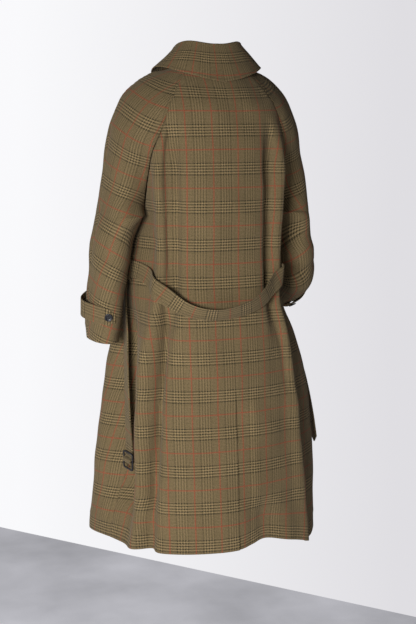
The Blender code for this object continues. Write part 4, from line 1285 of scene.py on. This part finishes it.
class COAT_OT_body(bpy.types.Operator):
    """Make the two back and two front panels"""

    bl_idname = "coat.body"
    bl_label = "Body panels"

    def execute(self, context):
        for side, word in WORDS.items():
            for face, stitched in (("back", ()), ("front", ("left",))):
                sew_on(f"{face}_{word}", body_grid(side, face), stitched)
        return {"FINISHED"}


class COAT_OT_sleeves(bpy.types.Operator):
    """Make the back and front halves of both raglan sleeves"""

    bl_idname = "coat.sleeves"
    bl_label = "Sleeves"

    def execute(self, context):
        for side, word in WORDS.items():
            for face in ("back", "front"):
                sew_on(f"sleeve_{word}_{face}", sleeve_grid(side, face), ("left",))
        return {"FINISHED"}


class COAT_OT_collar(bpy.types.Operator):
    """Make the turned-down collar"""

    bl_idname = "coat.collar"
    bl_label = "Collar"

    def execute(self, context):
        stitched = ("left", "right", "lower")
        sew_on("collar", collar_grid(), stitched)
        return {"FINISHED"}


class COAT_OT_belt(bpy.types.Operator):
    """Make the belt across the back, its hanging ends and its loops"""

    bl_idname = "coat.belt"
    bl_label = "Belt"

    def execute(self, context):
        u, v = np.meshgrid(np.linspace(0, 1, 241), spaced(14, 0.5))
        outer, inner = (belt_swag_point(u, 0.5 - v, depth) for depth in (0.0, 1.0))
        grids = outer, inner, strip_threads(outer, 1, BELT_BAND_START)
        sew_on("belt_back", grids, ("upper", "lower"))
        for side, word in WORDS.items():
            straight = BAR_LOOP_START if side == LEFT else 1.0
            curl = np.linspace(straight, 1, 41)[1:] if side == LEFT else []
            u, v = np.meshgrid(spaced(14, 0.5), np.concatenate([np.linspace(0, straight, 121), curl]))
            outer, inner = (belt_end_point(side, u, v, depth, straight) for depth in (0.0, 1.0))
            grids = outer, inner, strip_threads(outer, 0)
            sew_on(f"belt_end_{word}", grids, ("left", "right"))
            self.loop(side)
        return {"FINISHED"}

    def loop(self, side):
        u, v = np.meshgrid(np.linspace(0, 1, 7), np.linspace(0, 1, 49))
        drop = LOOP_DROPS[side] + LOOP_HEIGHT * (v - 0.5)
        middle = side * 90.0 + np.degrees(LOOP_WIDTH * (u - 0.5) / SIDE_RADIUS)
        rise = smooth(np.minimum(v, 1 - v) / LOOP_RISE)
        gap = LOOP_GAPS[side] + (BELT_THICKNESS + 2 * LAYER_GAP) * rise
        crown = LOOP_THICKNESS + LOOP_CROWN * (1 - (2 * u - 1) ** 2)
        outer, inner = (body_point(middle, drop, gap + out, ridges_only=True) for out in (crown, 0.0))
        lay_cloth(f"belt_loop_{WORDS[side]}", (outer, inner, strip_threads(outer, 0)))


class COAT_OT_cuff_tabs(bpy.types.Operator):
    """Make the tabs round the cuffs"""

    bl_idname = "coat.cuff_tabs"
    bl_label = "Cuff tabs"

    def execute(self, context):
        u, v = np.meshgrid(spaced(90, 0.5), spaced(16, 0.5))
        for side, word in WORDS.items():
            outer, inner = (tab_point(side, u, v - 0.5, out) for out in (REST_GAP + CLOTH, REST_GAP))
            grids = outer, inner, strip_threads(outer, 1)
            edges = ("right", "upper", "lower")
            sew_on(f"cuff_tab_{word}", grids, edges)
        return {"FINISHED"}


class COAT_OT_buttons(bpy.types.Operator):
    """Make the front and cuff buttons"""

    bl_idname = "coat.buttons"
    bl_label = "Buttons"

    def execute(self, context):
        trims = context.scene.coat_trims
        for number, drop in enumerate(FRONT_BUTTON_DROPS, 1):
            across = body_point(180.25, drop) - body_point(179.75, drop)
            down = body_point(180.0, drop + 1e-3) - body_point(180.0, drop - 1e-3)
            normal = unit(np.cross(across, down))
            point = body_point(180.0, drop) + normal * SEAM_GAP
            sew_button(f"button_front_{number}", trims.front_button, point, normal)
        for side, word in WORDS.items():
            shares, across = TAB_BUTTON + np.array([0.0, 1e-3, 0.0]), np.array([0.0, 0.0, 1e-3])
            point, ahead, aside = tab_point(side, shares, across, REST_GAP + CLOTH)
            normal = unit(np.cross(aside - point, ahead - point)) * side
            sew_button(f"button_cuff_{word}", trims.cuff_button, point + normal * SEAM_GAP, normal)
        return {"FINISHED"}


class COAT_OT_buckle(bpy.types.Operator):
    """Make the belt's buckle"""

    bl_idname = "coat.buckle"
    bl_label = "Buckle"

    def execute(self, context):
        trims = context.scene.coat_trims
        end = np.array([BELT_ENDS[LEFT]["drop"][-1]])
        middle, normal, width = (part[0] for part in end_frame(BELT_ENDS[LEFT], LEFT, end))
        bar = middle + normal * (BELT_THICKNESS + BAR_LOOP_RADIUS)
        axes = Matrix((width, (0.0, 0.0, 1.0), normal)).transposed().to_4x4()
        centred = Matrix.Translation((0.0, 0.0, -trims.buckle_thickness / 2))
        shape = buckle_shape(trims)
        placed = Matrix.Translation(Vector(bar)) @ axes @ centred
        bmesh.ops.transform(shape, matrix=placed, verts=shape.verts[:])
        bmesh.ops.recalc_face_normals(shape, faces=shape.faces[:])
        made = add_piece("buckle_horn", shape, finish("dark_horn"))
        made.data.shade_smooth()
        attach(made, "buckle")
        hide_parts("buckle")
        return {"FINISHED"}


class COAT_OT_stage(bpy.types.Operator):
    """Make the floor, the light and the camera"""

    bl_idname = "coat.stage"
    bl_label = "Stage"

    def execute(self, context):
        scene, stage = context.scene, context.scene.coat_stage
        scene.view_settings.view_transform = "Standard"
        self.floor(stage)
        self.light(scene, stage)
        self.room(scene, stage)
        self.camera(scene, stage)
        return {"FINISHED"}

    def floor(self, stage):
        """A plain floor that ends along a line behind the coat, and glows as painted light that lights the
        coat from below.
        """
        shape = bmesh.new()
        bmesh.ops.create_grid(shape, x_segments=8, y_segments=8, size=FLOOR_SIZE)
        start = Vector((*FLOOR_START, -stage.floor_drop)) + Vector(FLOOR_ASIDE) * FLOOR_SIZE
        axes = Matrix((FLOOR_LINE, FLOOR_ASIDE, (0.0, 0.0, -1.0))).transposed().to_4x4()
        bmesh.ops.transform(shape, matrix=Matrix.Translation(start) @ axes, verts=shape.verts[:])
        bmesh.ops.reverse_faces(shape, faces=shape.faces[:])
        made, nodes, shader = new_material("pale_floor")
        cloud = nodes.noise(nodes.add("ShaderNodeTexCoord").outputs["Object"], 3.0, 5.0)
        mottled = nodes.mix(cloud, rgba(stage.floor, 0.5), rgba(stage.floor, 1.5))
        # Painted light: the floor glows with its own mottled colour, though it is no lamp, and so lights
        # the coat from below and brightens itself
        looks = {"Base Color": mottled, "Emission Color": mottled}
        nodes.fill(shader, {**looks, "Roughness": 0.7, "Emission Strength": FLOOR_GLOW})
        add_piece("floor", shape, made)

    def light(self, scene, stage):
        """A broad soft light on the left."""
        lamp = bpy.data.lights.new("left light", "AREA")
        lamp.shape = "RECTANGLE"
        lamp.size, lamp.size_y = LIGHT_SIZE
        lamp.spread = math.radians(LIGHT_SPREAD)
        lamp.energy = stage.key_power
        placed = bpy.data.objects.new("left light", lamp)
        placed.location = LIGHT_PLACE
        aim = Vector(LIGHT_TARGET) - placed.location
        placed.rotation_euler = aim.to_track_quat("-Z", "Y").to_euler()
        scene.collection.objects.link(placed)

    def room(self, scene, stage):
        """A pale room that lights the coat from the left, and the wall behind it that the camera sees, with
        painted shade that darkens it towards the right.
        """
        world = bpy.data.worlds.new("pale room")
        world.use_nodes = True
        nodes = Nodes(world.node_tree)
        way = nodes.add("ShaderNodeNewGeometry").outputs["Incoming"]
        above = nodes.ramp(nodes.xyz(way)["Z"], 0.1, -0.6)
        turned = nodes.add("ShaderNodeVectorMath", {0: way, 1: LEFT_TO_RIGHT}, operation="DOT_PRODUCT")
        turn = turned.outputs["Value"]
        level = nodes.mix(nodes.ramp(turn, -0.6, 0.9), rgba(ROOM_LEFT), rgba(ROOM_RIGHT))
        room = world.node_tree.nodes["Background"]
        nodes.fill(room.inputs, {"Color": nodes.mix(above, level, rgba(ROOM_ABOVE)), "Strength": stage.sky})
        # Painted shade: the wall that the camera sees is lighter on the left and darker towards the right,
        # away from the light
        wall_with_painted_shade = nodes.mix(nodes.ramp(turn, -0.14, 0.14), rgba(WALL_LEFT), rgba(WALL_RIGHT))
        wall = nodes.add("ShaderNodeBackground", {"Color": wall_with_painted_shade, "Strength": 1.0})
        seen = nodes.add("ShaderNodeLightPath").outputs["Is Camera Ray"]
        both = nodes.add("ShaderNodeMixShader", {0: seen, 1: room.outputs[0], 2: wall.outputs[0]})
        nodes.fill(world.node_tree.nodes["World Output"].inputs, {"Surface": both.outputs[0]})
        scene.world = world

    def camera(self, scene, stage):
        lens = bpy.data.cameras.new("camera")
        lens.lens = stage.lens
        lens.sensor_width = 36.0
        placed = bpy.data.objects.new("camera", lens)
        level = math.cos(stage.elevation)
        back = Vector((math.sin(stage.azimuth) * level, -math.cos(stage.azimuth) * level,
                       math.sin(stage.elevation)))
        placed.location = Vector(CAMERA_TARGET) + back * stage.distance
        placed.rotation_euler = back.to_track_quat("Z", "Y").to_euler()
        scene.collection.objects.link(placed)
        scene.camera = placed


class COAT_PT_sidebar(bpy.types.Panel):
    """The coat's pieces and settings"""

    bl_idname = "COAT_PT_sidebar"
    bl_label = "Balmacaan Coat"
    bl_space_type = "VIEW_3D"
    bl_region_type = "UI"
    bl_category = "Coat"

    def draw(self, context):
        for settings in (context.scene.coat_tweed, context.scene.coat_trims, context.scene.coat_stage):
            box = self.layout.box()
            for name in settings.bl_rna.properties.keys():
                if name not in ("name", "rna_type"):
                    box.prop(settings, name)
        for operator in OPERATORS:
            self.layout.operator(operator.bl_idname)


SETTINGS = {"coat_tweed": TweedSettings, "coat_trims": TrimSettings, "coat_stage": StageSettings}
OPERATORS = (
    COAT_OT_stage,
    COAT_OT_body,
    COAT_OT_sleeves,
    COAT_OT_collar,
    COAT_OT_belt,
    COAT_OT_cuff_tabs,
    COAT_OT_buttons,
    COAT_OT_buckle,
)


def register():
    for name, kind in SETTINGS.items():
        bpy.utils.register_class(kind)
        setattr(bpy.types.Scene, name, PointerProperty(type=kind))
    for kind in (*OPERATORS, COAT_PT_sidebar):
        bpy.utils.register_class(kind)


def unregister():
    for kind in (COAT_PT_sidebar, *reversed(OPERATORS)):
        bpy.utils.unregister_class(kind)
    for name, kind in SETTINGS.items():
        delattr(bpy.types.Scene, name)
        bpy.utils.unregister_class(kind)


def main():
    register()
    bpy.ops.coat.stage()
    bpy.ops.coat.body()
    bpy.ops.coat.sleeves()
    bpy.ops.coat.collar()
    bpy.ops.coat.belt()
    bpy.ops.coat.cuff_tabs()
    bpy.ops.coat.buttons()
    bpy.ops.coat.buckle()


if __name__ == "__main__":
    main()
